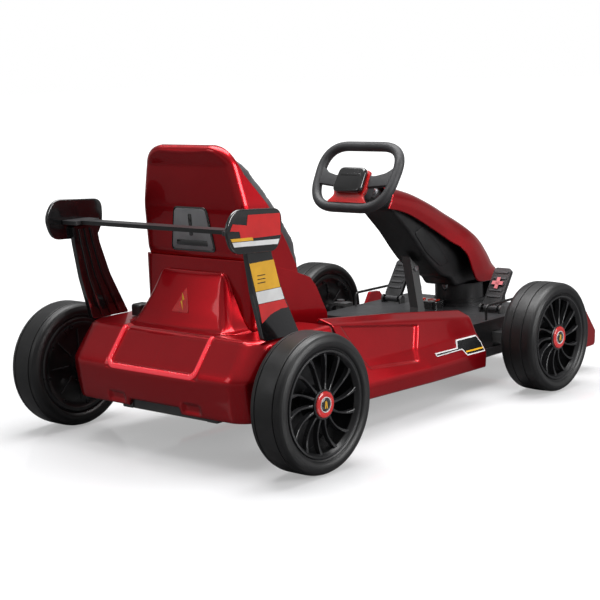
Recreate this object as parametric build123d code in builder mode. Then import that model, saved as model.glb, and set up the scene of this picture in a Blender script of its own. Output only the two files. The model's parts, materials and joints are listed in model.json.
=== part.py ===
from build123d import *
import math
import os

os.makedirs("parts", exist_ok=True)

# A child's ride-on go-kart. +X points forward, +Y to the left, +Z up, and Z = 0 is the ground.
# Sizes are in millimetres.

# ---------------------------------------------------------------- overall layout
wheelbase = 812.0
rear_track = 683.0
front_track = 672.0
front_overhang = 256.0
rear_tyre_r = 133.0
rear_tyre_w = 80.0
rear_rim_r = 102.0
front_tyre_r = 123.0
front_tyre_w = 88.0
front_rim_r = 95.0
rear_x = rear_tyre_r - (rear_tyre_r + wheelbase + front_overhang) / 2
front_x = rear_x + wheelbase
mid_x = (rear_x + front_x) / 2

# ---------------------------------------------------------------- frame
rail_z = 72.0
rail_w = 30.0
rail_h = 25.0
rail_y = 120.0
rail_front = 200.0
rail_top = rail_z + rail_h
pan_t = 4.0
pan_half = front_track / 2 - 128
beam_w = 30.0
beam_h = 25.0
kingpin_y = front_track / 2 - 74
kingpin_r = 6.0
barrel_r = 13.0
barrel_h = 40.0
axle_r = 6.0
running_gap = 0.05
end_play = 0.5

# ---------------------------------------------------------------- bodywork
body_wall = 4.0
fairing_half = rear_track / 2 - 86.5
fairing_low = 89.0
deck_z = 241.0
hump_top = 350.0
box_half = front_track / 2 - 131
box_top = 150.0
box_wall = 3.0
cowl_half = 56.0
pod_top_y = pan_half + 2
pod_side_y = pod_top_y + 77
fin_t = 12.0
fin_y = fairing_half - 13
winglet_t = 8.0
bar_z = 448.0
bar_t = 8.0

# ---------------------------------------------------------------- seat
seat_rear = 50.0
seat_floor = 190.0
seat_wall = 6.0
seat_half = 149.0
back_wall = 13.0
back_top = 600.0
pad_gap = 0.5
base_pad_h = 44.0
seat_rail_w = 22.0
seat_travel = 60.0
slide_gap = 0.3

# ---------------------------------------------------------------- steering
wheel_w = 250.0
wheel_h = 168.0
wheel_rim_r = 11.5
wheel_corner_r = 60.0
column_angle = 30.8
shaft_r = 8.0
ball_r = 12.0
ball_gap = 0.3
pitman_len = 45.0
knuckle_arm = 65.0
tie_rod_r = 3.5
tie_pin_r = 4.0
tie_open_gap = 5.0
eye_t = 6.0
washer_t = 3.0

# ---------------------------------------------------------------- wheels
hub_r = 20.0
spoke_count = 14
rim_disc_t = 4.0
cap_r = 25.0

# ---------------------------------------------------------------- pedals
pedal_y = 147.0
pedal_w = 48.0
pedal_l = 100.0
pedal_t = 9.0
pedal_lean = 35.0
pedal_pin_r = 4.0


def side_plane(y):
    """Plane parallel to XZ through the given y, with X to the right and Z up."""
    return Plane(origin=(0, y, 0), x_dir=(1, 0, 0), z_dir=(0, -1, 0))


def cross_plane(x):
    """Plane parallel to YZ through the given x, with Y to the right and Z up."""
    return Plane(origin=(x, 0, 0), x_dir=(0, 1, 0), z_dir=(1, 0, 0))


def from_rear(*points):
    """Side-view points given from the rear axle line."""
    return [(rear_x + x, z) for x, z in points]


def from_front(*points):
    """Side-view points given from the front axle line."""
    return [(front_x + x, z) for x, z in points]


# ================================================================ frame
with BuildPart() as frame_rails:
    with BuildSketch(cross_plane(rear_x - 40)):
        with Locations((rail_y, rail_z + rail_h / 2), (-rail_y, rail_z + rail_h / 2)):
            Rectangle(rail_w, rail_h)
    extrude(amount=wheelbase + 40 + rail_front)
    chamfer(frame_rails.edges().filter_by(Axis.X), length=2)

frame_rails.part.label = "frame_rails"
export_step(frame_rails.part, "parts/frame_rails.step")

# Cross members between the rails, straps out to the side pods, and plates that hold the rear axle.
with BuildPart() as frame_brackets:
    with BuildSketch(Plane.XY.offset(rail_z)):
        with Locations((rear_x - 25, 0), (rear_x + 260, 0), (front_x - 172, 0)):
            Rectangle(25, 2 * rail_y - rail_w)
    extrude(amount=rail_h)
    for side in (1, -1):
        with BuildSketch(Plane.XY.offset(rail_z)):
            for strap_x in (rear_x + 330, front_x - 250):
                with Locations((strap_x, side * (pan_half - 3 + rail_y + rail_w / 2) / 2)):
                    Rectangle(24, pan_half - 3 - rail_y - rail_w / 2)
        extrude(amount=6)
        with BuildSketch(side_plane(side * rail_y)):
            with Locations((rear_x, (rail_top + rear_tyre_r) / 2)):
                Rectangle(50, rear_tyre_r - rail_top)
            with Locations((rear_x, rear_tyre_r)):
                Circle(25)
                Circle(axle_r, mode=Mode.SUBTRACT)
        extrude(amount=5, both=True)

frame_brackets.part.label = "frame_brackets"
export_step(frame_brackets.part, "parts/frame_brackets.step")

# The front axle beam lies on the rails and carries a yoke for each kingpin.
front_axle_z = front_tyre_r
yoke_low = front_axle_z - barrel_h / 2 - end_play
yoke_high = front_axle_z + barrel_h / 2 + end_play
yoke_inner = kingpin_y - 28
with BuildPart() as front_axle_beam:
    with BuildSketch(cross_plane(front_x)):
        with Locations((0, rail_top + beam_h / 2)):
            Rectangle(2 * yoke_inner, beam_h)
    extrude(amount=beam_w / 2, both=True)
    for side in (1, -1):
        with BuildSketch(cross_plane(front_x)):
            with Locations((side * (yoke_inner + 4), (yoke_low + yoke_high) / 2)):
                Rectangle(8, yoke_high - yoke_low + 15)
            for ear_z in (yoke_low - 3.75, yoke_high + 3.75):
                with Locations((side * (kingpin_y - 7), ear_z)):
                    Rectangle(42, 7.5)
        extrude(amount=14, both=True)
    with Locations((front_x, kingpin_y, front_axle_z), (front_x, -kingpin_y, front_axle_z)):
        Cylinder(kingpin_r, barrel_h + 60, mode=Mode.SUBTRACT)

front_axle_beam.part.label = "front_axle_beam"
export_step(front_axle_beam.part, "parts/front_axle_beam.step")

# The rear axle is a fixed rod that both rear wheels turn on, with a retaining head at each end.
hub_end = 8.0
head_r = 11.0
head_t = 7.0
axle_end = rear_track / 2 + hub_end + end_play + head_t
with BuildPart() as rear_axle:
    with BuildSketch(side_plane(0)):
        with Locations((rear_x, rear_tyre_r)):
            Circle(axle_r)
    extrude(amount=axle_end, both=True)
    for side in (1, -1):
        with BuildSketch(side_plane(side * (axle_end - head_t / 2))):
            with Locations((rear_x, rear_tyre_r)):
                RegularPolygon(radius=head_r, side_count=6)
        extrude(amount=head_t / 2, both=True)

rear_axle.part.label = "rear_axle"
export_step(rear_axle.part, "parts/rear_axle.step")

# ================================================================ drive units
gearbox_in = fairing_half - 67
gearbox_out = fairing_half - 7
motor_l = gearbox_in - rail_y - rail_w / 2 - 5
with BuildPart() as drive_unit_left:
    with BuildSketch(side_plane((gearbox_in + gearbox_out) / 2)):
        with Locations((rear_x, rear_tyre_r)):
            Circle(42)
        with Locations((rear_x + 70, rear_tyre_r + 6)):
            Circle(30)
        with Locations((rear_x + 32, rear_tyre_r + 2)):
            Rectangle(64, 58)
        with Locations((rear_x, rear_tyre_r)):
            Circle(axle_r, mode=Mode.SUBTRACT)
    extrude(amount=(gearbox_out - gearbox_in) / 2, both=True)
    with BuildSketch(side_plane(gearbox_in - motor_l / 2)):
        with Locations((rear_x + 70, rear_tyre_r + 6)):
            Circle(19)
    extrude(amount=motor_l / 2, both=True)

drive_unit_left.part.label = "drive_unit_left"
export_step(drive_unit_left.part, "parts/drive_unit_left.step")

with BuildPart() as drive_unit_right:
    mirror(drive_unit_left.part, about=Plane.XZ)

drive_unit_right.part.label = "drive_unit_right"
export_step(drive_unit_right.part, "parts/drive_unit_right.step")

with BuildPart() as battery:
    with BuildSketch(Plane.XY.offset(rail_z)):
        with Locations((rear_x + 160, 0)):
            RectangleRounded(151, 98, 4)
    extrude(amount=65)

battery.part.label = "battery"
export_step(battery.part, "parts/battery.step")

# ================================================================ floor pan and front box
box_rear = front_x - 162
box_front = front_x + 210
with BuildPart() as floor_pan:
    with BuildSketch(Plane.XY.offset(rail_z - pan_t)):
        with BuildLine():
            Polyline(
                (rear_x + 30, -pan_half + 40),
                (rear_x + 30, pan_half - 40),
                (rear_x + 90, pan_half),
                (box_front, pan_half),
                (box_front, -pan_half),
                (rear_x + 90, -pan_half),
                close=True,
            )
        make_face()
    extrude(amount=pan_t)
    with BuildSketch(Plane.XY.offset(rail_z)):
        for side in (1, -1):
            with Locations(((rear_x + 90 + box_front) / 2, side * (pan_half - 1.5))):
                Rectangle(box_front - rear_x - 90, 3)
    extrude(amount=16)

floor_pan.part.label = "floor_pan"
export_step(floor_pan.part, "parts/floor_pan.step")

# The front box is a tray open underneath, with openings for the rails, the beam and the tie rods.
shaft_top_x = front_x + 8
shaft_top_z = 339.2
shaft_low_x = front_x + 140
shaft_low_z = 108.0
lower_len = math.hypot(shaft_low_x - shaft_top_x, shaft_top_z - shaft_low_z)
lower_axis = Vector((shaft_low_x - shaft_top_x) / lower_len, 0, (shaft_low_z - shaft_top_z) / lower_len)
pitman_dir = Vector(-lower_axis.Z, 0, lower_axis.X)
pitman_x = shaft_low_x + pitman_len * pitman_dir.X
pitman_z = shaft_low_z + pitman_len * pitman_dir.Z
tie_eye_z = front_axle_z - barrel_h / 2 + 8.5
tie_eye_x = front_x + knuckle_arm
slot_share = box_half / kingpin_y
slot_x = pitman_x + (tie_eye_x - pitman_x) * slot_share
slot_z = pitman_z + (tie_eye_z - pitman_z) * slot_share
lower_plane = Plane(origin=(shaft_low_x, 0, shaft_low_z), x_dir=pitman_dir, z_dir=-lower_axis)
rise_x = shaft_top_x + (shaft_top_z - box_top) * lower_axis.X / -lower_axis.Z

with BuildPart() as front_box:
    with BuildSketch(Plane.XY.offset(rail_z)):
        with Locations(((box_rear + box_front) / 2, 0)):
            RectangleRounded(box_front - box_rear, 2 * box_half, 16)
    extrude(amount=box_top - rail_z, taper=2)
    with BuildSketch(Plane.XY.offset(rail_z)):
        with Locations(((box_rear + box_front) / 2, 0)):
            RectangleRounded(box_front - box_rear - 2 * box_wall, 2 * (box_half - box_wall), 13)
    extrude(amount=box_top - rail_z - box_wall, taper=2, mode=Mode.SUBTRACT)
    for side in (1, -1):
        with Locations((slot_x, side * box_half, slot_z)):
            Box(72, 24, 44, mode=Mode.SUBTRACT)
        with Locations((front_x, side * box_half, rail_z + (rail_h + beam_h) / 2)):
            Box(beam_w + 2, 24, rail_h + beam_h + 2, mode=Mode.SUBTRACT)
    with Locations((box_rear, 0, rail_z + rail_h / 2)):
        Box(30, 2 * rail_y + rail_w + 2, rail_h + 2, mode=Mode.SUBTRACT)
    with Locations((rise_x, 0, box_top)):
        Cylinder(22, 20, mode=Mode.SUBTRACT)

front_box.part.label = "front_box"
export_step(front_box.part, "parts/front_box.step")

# ================================================================ rear fairing
hump_front = seat_rear - 2
fairing_end = 172.0
opening_half = seat_half + 8
knob_x = rear_x + 62
knob_y = opening_half + 20
knob_stem_r = 7.0


def fairing_solid(inset):
    """The tail's outer form, or its hollow when inset by the wall."""
    with BuildPart() as form:
        with BuildSketch(side_plane(0)):
            Polygon(
                *from_rear(
                    (-72 + inset, fairing_low - 3 * inset),
                    (-80 + inset, 112),
                    (-87 + inset, 165 - inset / 2),
                    (-83 + inset, 180 - inset / 2),
                    (-35 + inset / 2, 238 - inset),
                    (-28 + inset / 2, deck_z - inset),
                    (fairing_end - inset, deck_z - inset),
                    (fairing_end - inset, fairing_low - 3 * inset),
                ),
                align=None,
            )
        extrude(amount=fairing_half - inset, both=True)
        with BuildSketch(Plane.XY.offset(fairing_low - 20)):
            with Locations((rear_x + (fairing_end - 87) / 2, 0)):
                outline = Rectangle(fairing_end + 87 - 2 * inset, 2 * (fairing_half - inset))
            fillet(outline.vertices().group_by(Axis.X)[0], radius=48 - inset)
        extrude(amount=deck_z, mode=Mode.INTERSECT)
        with BuildSketch(Plane.XY.offset(deck_z - 8 - inset)):
            with Locations((rear_x + (hump_front - 8) / 2 + inset / 2, 0)):
                Rectangle(hump_front + 8 - inset, 2 * (137 - inset))
        with BuildSketch(Plane.XY.offset(hump_top - inset)):
            with Locations((rear_x + (hump_front + 41) / 2 + inset / 2, 0)):
                Rectangle(hump_front - 41 - inset, 2 * (86 - inset))
        loft()
    return form.part


fairing_shell = fairing_solid(0)
fairing_core = fairing_solid(body_wall)
with BuildPart() as fairing_body:
    add(fairing_shell)
    add(fairing_core, mode=Mode.SUBTRACT)
    with BuildSketch(Plane.XY.offset(fairing_low - 10)):
        with Locations((rear_x + (hump_front + fairing_end + 20) / 2, 0)):
            Rectangle(fairing_end + 20 - hump_front, 2 * opening_half)
    extrude(amount=300, mode=Mode.SUBTRACT)
    for side in (1, -1):
        with Locations((rear_x, side * fairing_half, (fairing_low + rear_tyre_r + 28) / 2 - 5)):
            Box(58, 24, rear_tyre_r + 28 - fairing_low + 10, mode=Mode.SUBTRACT)
    with BuildSketch(cross_plane(rear_x - 100)):
        Polygon((-70, fairing_low - 5), (70, fairing_low - 5), (56, 103), (-56, 103), align=None)
    extrude(amount=60, mode=Mode.SUBTRACT)
    with Locations((knob_x, knob_y, deck_z)):
        Cylinder(knob_stem_r + 0.4, 40, mode=Mode.SUBTRACT)

rear_slope = Plane(
    origin=(rear_x - 59, 0, 209),
    x_dir=(0, -1, 0),
    z_dir=(-58 / math.hypot(48, 58), 0, 48 / math.hypot(48, 58)),
)
light_half = 126.0
light_w = 8.0
with BuildPart() as tail_light:
    with BuildSketch(rear_slope.offset(-2)):
        with Locations((0, 0)):
            Rectangle(2 * light_half, 62)
        with Locations((0, light_w)):
            Rectangle(2 * (light_half - light_w), 62, mode=Mode.SUBTRACT)
    extrude(amount=4)

with BuildPart() as rear_fairing:
    add(fairing_body.part)
    add(tail_light.part, mode=Mode.SUBTRACT)

rear_fairing.part.label = "rear_fairing"
export_step(rear_fairing.part, "parts/rear_fairing.step")
tail_light.part.label = "tail_light"
export_step(tail_light.part, "parts/tail_light.step")

# ================================================================ fins, winglets and wing bar
winglet_in = fin_y + fin_t / 2
with BuildPart() as fins:
    with BuildSketch(side_plane(fin_y)):
        Polygon(
            *from_rear((-20, deck_z), (80, deck_z), (10, 405), (0, 440), (-62, 440), (-58, 405)),
            align=None,
        )
    extrude(amount=fin_t / 2, both=True)
    chamfer(fins.edges().filter_by(GeomType.LINE).group_by(Axis.Y)[-1], length=2)
    mirror(about=Plane.XZ)

fins.part.label = "fins"
export_step(fins.part, "parts/fins.step")

with BuildPart() as winglets:
    with BuildSketch(side_plane(winglet_in + winglet_t / 2)):
        winglet_shape = Polygon(
            *from_rear((-104, 414), (16, 408), (33, 440), (33, 487), (-96, 496), (-120, 460)),
            align=None,
        )
        fillet(winglet_shape.vertices(), radius=12)
    extrude(amount=winglet_t / 2, both=True)
    mirror(about=Plane.XZ)

winglets.part.label = "winglets"
export_step(winglets.part, "parts/winglets.step")

with BuildPart() as wing_bar:
    with BuildSketch(Plane.XY.offset(bar_z - bar_t / 2)):
        with Locations((rear_x - 48, 0)):
            Rectangle(30, 2 * winglet_in)
        for side in (1, -1):
            with Locations((rear_x - 46, side * (winglet_in - 22))):
                RectangleRounded(64, 44, 4)
    extrude(amount=bar_t)

wing_bar.part.label = "wing_bar"
export_step(wing_bar.part, "parts/wing_bar.step")

# ================================================================ side pods
pod_rear = rear_x + 166
pod_mid = mid_x + 14
pod_front = front_x - 163


def pod_section(top_z, crease_z, belly_y, belly_z, low_y, low_z, inset):
    """Corner points of the pod's skin in a cross-section, outside when inset is 0."""
    return [
        (pod_top_y - 3 * inset, top_z - inset),
        (pod_top_y + 35 - inset, crease_z - inset),
        (belly_y - inset, belly_z - inset),
        (low_y - inset, 106 - inset),
        (low_y - 2 - inset, low_z - 3 * inset),
        (pod_top_y - 3 * inset, low_z - 3 * inset),
    ]


def pod_form(inset):
    """Loft of the pod's skin from its rear end to its front end."""
    with BuildPart() as form:
        with BuildSketch(cross_plane(pod_rear - inset / 4)):
            Polygon(*pod_section(253, 243, pod_top_y + 52, 160, pod_top_y + 65, 78, inset), align=None)
        with BuildSketch(cross_plane(pod_mid)):
            Polygon(*pod_section(226, 212, pod_top_y + 52, 150, pod_side_y, 76, inset), align=None)
        with BuildSketch(cross_plane(pod_front + inset / 4)):
            Polygon(*pod_section(197, 184, pod_top_y + 50, 150, pod_side_y, 74, inset), align=None)
        loft(ruled=True)
    return form.part


pod_skin = pod_form(0)
pod_core = pod_form(body_wall)
with BuildPart() as side_pod_left:
    add(pod_skin)
    add(pod_core, mode=Mode.SUBTRACT)
    with BuildSketch(side_plane(pod_side_y)):
        Polygon(
            (pod_rear - 10, 300),
            (pod_rear + 8, 300),
            (rear_x + rear_tyre_r + 60, 200),
            (rear_x + rear_tyre_r + 128, 60),
            (pod_rear - 10, 60),
            align=None,
        )
    extrude(amount=60, both=True, mode=Mode.SUBTRACT)

side_pod_left.part.label = "side_pod_left"
export_step(side_pod_left.part, "parts/side_pod_left.step")

with BuildPart() as side_pod_right:
    mirror(side_pod_left.part, about=Plane.XZ)

side_pod_right.part.label = "side_pod_right"
export_step(side_pod_right.part, "parts/side_pod_right.step")

# ================================================================ column cowl, pedestal, hood
neck_z = 205.0
pedestal_x = front_x + 143
column_dir = Vector(math.cos(math.radians(column_angle)), 0, -math.sin(math.radians(column_angle)))
joint_to_wheel = 294.5
wheel_centre = Vector(shaft_top_x, 0, shaft_top_z) - column_dir * joint_to_wheel
wheel_plane = Plane(origin=wheel_centre, x_dir=(0, -1, 0), z_dir=-column_dir)
bush_r = 11.0
bush_from_wheel = 85.0

cowl_points = from_front(
    (-194, 414), (-126, 352), (-82, 303), (-59, 280), (5, 236), (47, 224), (64, neck_z),
    (206, neck_z), (213, 215), (204, 255), (176, 300), (113, 345), (38, 382), (-77, 436), (-162, 461),
)
with BuildPart() as column_cowl:
    with BuildSketch(side_plane(0)):
        Polygon(*cowl_points, align=None)
    extrude(amount=cowl_half, both=True)
    with BuildSketch(side_plane(0)):
        Polygon(*cowl_points, align=None)
        offset(amount=-body_wall, kind=Kind.INTERSECTION, mode=Mode.REPLACE)
    extrude(amount=cowl_half - body_wall, both=True, mode=Mode.SUBTRACT)
    with BuildSketch(Plane.XY.offset(neck_z - 5)):
        with Locations((pedestal_x, 0)):
            Circle(50)
    extrude(amount=15, mode=Mode.SUBTRACT)
    with BuildSketch(wheel_plane.offset(-bush_from_wheel - 20)):
        Circle(bush_r)
    extrude(amount=40, mode=Mode.SUBTRACT)
    with BuildSketch(lower_plane.offset(90)):
        Circle(shaft_r + 4)
    extrude(amount=60, mode=Mode.SUBTRACT)

column_cowl.part.label = "column_cowl"
export_step(column_cowl.part, "parts/column_cowl.step")

with BuildPart() as column_bush:
    with BuildSketch(wheel_plane.offset(-bush_from_wheel - 6)):
        Circle(bush_r)
        Circle(shaft_r + running_gap, mode=Mode.SUBTRACT)
    extrude(amount=20)

column_bush.part.label = "column_bush"
export_step(column_bush.part, "parts/column_bush.step")

pedestal_r = 66.0
with BuildPart() as pedestal:
    for base_z, radius, height in (
        (box_top, pedestal_r, 8),
        (box_top + 8, pedestal_r - 4, 8),
        (box_top + 16, pedestal_r - 7, neck_z - box_top - 16),
    ):
        with BuildSketch(Plane.XY.offset(base_z)):
            with Locations((pedestal_x, 0)):
                Circle(radius)
        extrude(amount=height)
    with BuildSketch(Plane.XY.offset(box_top + 6)):
        with Locations((pedestal_x, 0)):
            Circle(pedestal_r - 11)
    extrude(amount=neck_z - box_top, mode=Mode.SUBTRACT)
    with BuildSketch(lower_plane.offset(38)):
        Circle(14)
    extrude(amount=30)
    with BuildSketch(lower_plane.offset(20)):
        Circle(shaft_r + running_gap)
    extrude(amount=50, mode=Mode.SUBTRACT)
    with BuildSketch(lower_plane.offset(69)):
        Circle(shaft_r + 1)
    extrude(amount=70, mode=Mode.SUBTRACT)

pedestal.part.label = "pedestal"
export_step(pedestal.part, "parts/pedestal.step")

hood_tail = front_x - 204
hood_nose = front_x + 254
hood_top = from_front((-168, 468), (-77, 449), (42, 400), (117, 362), (188, 310), (228, 256), (254, 200))
with BuildPart() as hood_form:
    with BuildSketch(side_plane(0)):
        Polygon(
            *from_front((-204, 419)),
            *hood_top,
            *from_front((104, 214), (92, 235), (80, 277), (50, 303), (-41, 357), (-128, 398)),
            align=None,
        )
    extrude(amount=100, both=True)
    with BuildSketch(Plane.XY.offset(150)):
        Polygon(
            (hood_tail, cowl_half + body_wall), (front_x - 20, cowl_half + body_wall),
            (front_x + 130, 86), (hood_nose, 76), (hood_nose, -76),
            (front_x + 130, -86), (front_x - 20, -cowl_half - body_wall), (hood_tail, -cowl_half - body_wall),
            align=None,
        )
    extrude(amount=400, mode=Mode.INTERSECT)

with BuildPart() as hood_core:
    with BuildSketch(side_plane(0)):
        Polygon(
            *from_front(
                (-230, 464), (-168, 462.5), (-78, 444), (40, 395), (115, 357), (184, 306),
                (224, 253), (247, 190), (-230, 190),
            ),
            align=None,
        )
    extrude(amount=100, both=True)
    with BuildSketch(Plane.XY.offset(150)):
        Polygon(
            (hood_tail - 30, cowl_half), (front_x - 20, cowl_half),
            (front_x + 130, 82), (hood_nose, 72), (hood_nose, -72),
            (front_x + 130, -82), (front_x - 20, -cowl_half), (hood_tail - 30, -cowl_half),
            align=None,
        )
    extrude(amount=400, mode=Mode.INTERSECT)

with BuildPart() as nose_hood:
    add(hood_form.part)
    add(hood_core.part, mode=Mode.SUBTRACT)

nose_hood.part.label = "nose_hood"
export_step(nose_hood.part, "parts/nose_hood.step")

with BuildPart() as nose_bracket:
    with BuildSketch(side_plane(0)):
        Polygon(
            *from_front((210, 97), (245, 97), (262, 112), (262, 172), (226, neck_z), (212, neck_z), (214, box_top), (210, box_top)),
            align=None,
        )
    extrude(amount=60, both=True)

nose_bracket.part.label = "nose_bracket"
export_step(nose_bracket.part, "parts/nose_bracket.step")

strut_w = 24.0
strut_half = strut_w / 2
with BuildPart() as column_strut:
    with BuildSketch(side_plane(0)):
        Polygon(*from_front((-70, 291.5), (-59, 280), (-38, 265.5), (-18, box_top + 16), (-14, box_top), (-44, box_top), (-42, box_top + 16)),
                align=None)
    extrude(amount=strut_half, both=True)
    with BuildSketch(side_plane(0)):
        Polygon(*cowl_points, align=None)
    extrude(amount=strut_w, both=True, mode=Mode.SUBTRACT)

column_strut.part.label = "column_strut"
export_step(column_strut.part, "parts/column_strut.step")

# Two kingpins with hexagon heads, and the round-headed bolts at the foot of the column cowl.
with BuildPart() as bolts:
    for side in (1, -1):
        with BuildSketch(Plane.XY.offset(yoke_low - 7.5)):
            with Locations((front_x, side * kingpin_y)):
                Circle(kingpin_r)
        extrude(amount=yoke_high - yoke_low + 15)
        with BuildSketch(Plane.XY.offset(yoke_high + 7.5)):
            with Locations((front_x, side * kingpin_y)):
                RegularPolygon(radius=10, side_count=6)
        extrude(amount=6)
        with BuildSketch(Plane.XY.offset(yoke_low - 7.5)):
            with Locations((front_x, side * kingpin_y)):
                RegularPolygon(radius=10, side_count=6)
        extrude(amount=-6)
        with BuildSketch(side_plane(side * (strut_half + 2.5))):
            with Locations(*from_front((-50, 262))):
                RegularPolygon(radius=7.5, side_count=6)
        extrude(amount=2.5, both=True)

bolts.part.label = "bolts"
export_step(bolts.part, "parts/bolts.step")

# ================================================================ foot guards and front wing
guard_r = 3.0
guard_y = box_half - 12
guard_z = box_top + 33
with BuildPart() as foot_guards:
    for side in (1, -1):
        with BuildLine() as guard_path:
            FilletPolyline(
                (front_x - 24, side * guard_y, box_top - 1),
                (front_x - 24, side * guard_y, guard_z),
                (front_x + 165, side * guard_y, guard_z),
                (front_x + 185, side * 150, guard_z),
                (front_x + 185, side * 150, box_top - 1),
                radius=12,
            )
        with BuildSketch(Plane(origin=guard_path.line @ 0, z_dir=guard_path.line % 0)):
            Circle(guard_r)
        sweep(path=guard_path.line)
    with Locations((front_x + 80, 0, box_top - 10)):
        Box(400, 2 * guard_y + 60, 20, mode=Mode.SUBTRACT)

foot_guards.part.label = "foot_guards"
export_step(foot_guards.part, "parts/foot_guards.step")

wing_half = front_track / 2 - 28
with BuildPart() as front_wing:
    with BuildSketch(side_plane(0)):
        wing_shape = Polygon(*from_front((159, 60), (249, 60), (256, 68), (253, 80), (206, 94), (165, 88)), align=None)
        fillet(wing_shape.vertices(), radius=3)
    extrude(amount=wing_half, both=True)
    for side in (1, -1):
        with BuildSketch(side_plane(side * (wing_half + 2))):
            end_shape = Polygon(*from_front((151, 58), (253, 58), (256, 92), (213, 146), (177, 148), (153, 112)), align=None)
            fillet(end_shape.vertices(), radius=9)
        extrude(amount=5, both=True)
    with Locations((box_front - 48, 0, rail_z)):
        Box(100, 2 * box_half + 8, 200, mode=Mode.SUBTRACT)

front_wing.part.label = "front_wing"
export_step(front_wing.part, "parts/front_wing.step")

# ================================================================ switch box
switch_x = front_x + 50
switch_y = 22.0
switch_h = 20.0
button_r = 7.0
rocker_pin_r = 1.6
with BuildPart() as switch_box:
    with BuildSketch(Plane.XY.offset(box_top)):
        with Locations((switch_x - 4, switch_y)):
            RectangleRounded(44, 70, 10)
    extrude(amount=switch_h)
    fillet(switch_box.faces().sort_by(Axis.Z)[-1].edges(), radius=3)
    with Locations((switch_x - 2, switch_y + 18, box_top + switch_h)):
        Cylinder(button_r + 0.4, 16, mode=Mode.SUBTRACT)
    with Locations((switch_x - 2, switch_y - 14, box_top + switch_h)):
        Box(16.8, 26.8, 20, mode=Mode.SUBTRACT)
    with Locations(Location((switch_x - 2, switch_y - 14, box_top + switch_h - 4), (0, 90, 0))):
        Cylinder(rocker_pin_r + 0.2, 20.6, mode=Mode.SUBTRACT)
    with Locations((pedestal_x, 0, box_top)):
        Cylinder(pedestal_r + 0.5, 60, mode=Mode.SUBTRACT)

switch_box.part.label = "switch_box"
export_step(switch_box.part, "parts/switch_box.step")

with BuildPart() as power_button:
    with BuildSketch(Plane.XY.offset(box_top + switch_h - 4)):
        with Locations((switch_x - 2, switch_y + 18)):
            Circle(button_r)
    extrude(amount=7)
    fillet(power_button.faces().sort_by(Axis.Z)[-1].edges(), radius=1.5)

power_button.part.label = "power_button"
export_step(power_button.part, "parts/power_button.step")

rocker_z = box_top + switch_h - 2
with BuildPart() as direction_rocker:
    with BuildSketch(cross_plane(switch_x - 2)):
        Polygon(
            (switch_y - 26.5, rocker_z + 4), (switch_y - 14, rocker_z + 2.5), (switch_y - 1.5, rocker_z + 4),
            (switch_y - 5, rocker_z - 4), (switch_y - 23, rocker_z - 4),
            align=None,
        )
    extrude(amount=8, both=True)
    with Locations(Location((switch_x - 2, switch_y - 14, rocker_z - 2), (0, 90, 0))):
        Cylinder(rocker_pin_r, 20)

direction_rocker.part.label = "direction_rocker"
export_step(direction_rocker.part, "parts/direction_rocker.step")

# ================================================================ pedals
hinge_x = front_x + 66
hinge_z = box_top + 10
pedal_lean_r = math.radians(pedal_lean)


def pedal_part(side):
    """Foot plate with its hinge barrel, on the given side of the kart."""
    plate_plane = Plane(
        origin=(hinge_x, side * pedal_y, hinge_z),
        x_dir=(0, -1, 0),
        z_dir=(-math.cos(pedal_lean_r), 0, math.sin(pedal_lean_r)),
    )
    with BuildPart() as pedal:
        with BuildSketch(plate_plane.offset(-2)):
            with Locations((0, 4 + pedal_l / 2)):
                RectangleRounded(pedal_w, pedal_l, 9)
        extrude(amount=pedal_t)
        with BuildSketch(plate_plane.offset(-2 + pedal_t)):
            for rib in range(5):
                with Locations((0, 28 + rib * 16)):
                    Rectangle(pedal_w - 12, 5)
        extrude(amount=2)
        with BuildSketch(side_plane(side * pedal_y)):
            with Locations((hinge_x, hinge_z)):
                Circle(8)
        extrude(amount=18, both=True)
        with BuildSketch(side_plane(side * pedal_y)):
            with Locations((hinge_x, hinge_z)):
                Circle(pedal_pin_r + running_gap)
        extrude(amount=40, both=True, mode=Mode.SUBTRACT)
    return pedal


accelerator_pedal = pedal_part(-1)
accelerator_pedal.part.label = "accelerator_pedal"
export_step(accelerator_pedal.part, "parts/accelerator_pedal.step")

brake_pedal = pedal_part(1)
brake_pedal.part.label = "brake_pedal"
export_step(brake_pedal.part, "parts/brake_pedal.step")

with BuildPart() as pedal_brackets:
    for side in (1, -1):
        for ear in (1, -1):
            with BuildSketch(side_plane(side * pedal_y + ear * (pedal_w / 2 + end_play + 3))):
                with Locations((hinge_x, hinge_z)):
                    Circle(9)
                with Locations((hinge_x, (hinge_z + box_top) / 2)):
                    Rectangle(18, hinge_z - box_top)
            extrude(amount=3, both=True)
        with BuildSketch(side_plane(side * pedal_y)):
            with Locations((hinge_x, hinge_z)):
                Circle(pedal_pin_r)
        extrude(amount=pedal_w / 2 + 4, both=True)

pedal_brackets.part.label = "pedal_brackets"
export_step(pedal_brackets.part, "parts/pedal_brackets.step")

# ================================================================ seat
seat_x = rear_x + seat_rear


def from_seat(*points):
    """Side-view points measured forwards from the seat's rear face."""
    return [(seat_x + x, z) for x, z in points]


seat_rail_l = 320.0
seat_rail_top = seat_floor - 10
with BuildPart() as seat_rails:
    with BuildSketch(Plane.XY.offset(rail_top)):
        with Locations((seat_x + 175, rail_y), (seat_x + 175, -rail_y)):
            Rectangle(seat_rail_l, seat_rail_w)
    extrude(amount=seat_rail_top - rail_top)
    chamfer(seat_rails.edges().filter_by(Axis.Z), length=4)

seat_rails.part.label = "seat_rails"
export_step(seat_rails.part, "parts/seat_rails.step")

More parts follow.
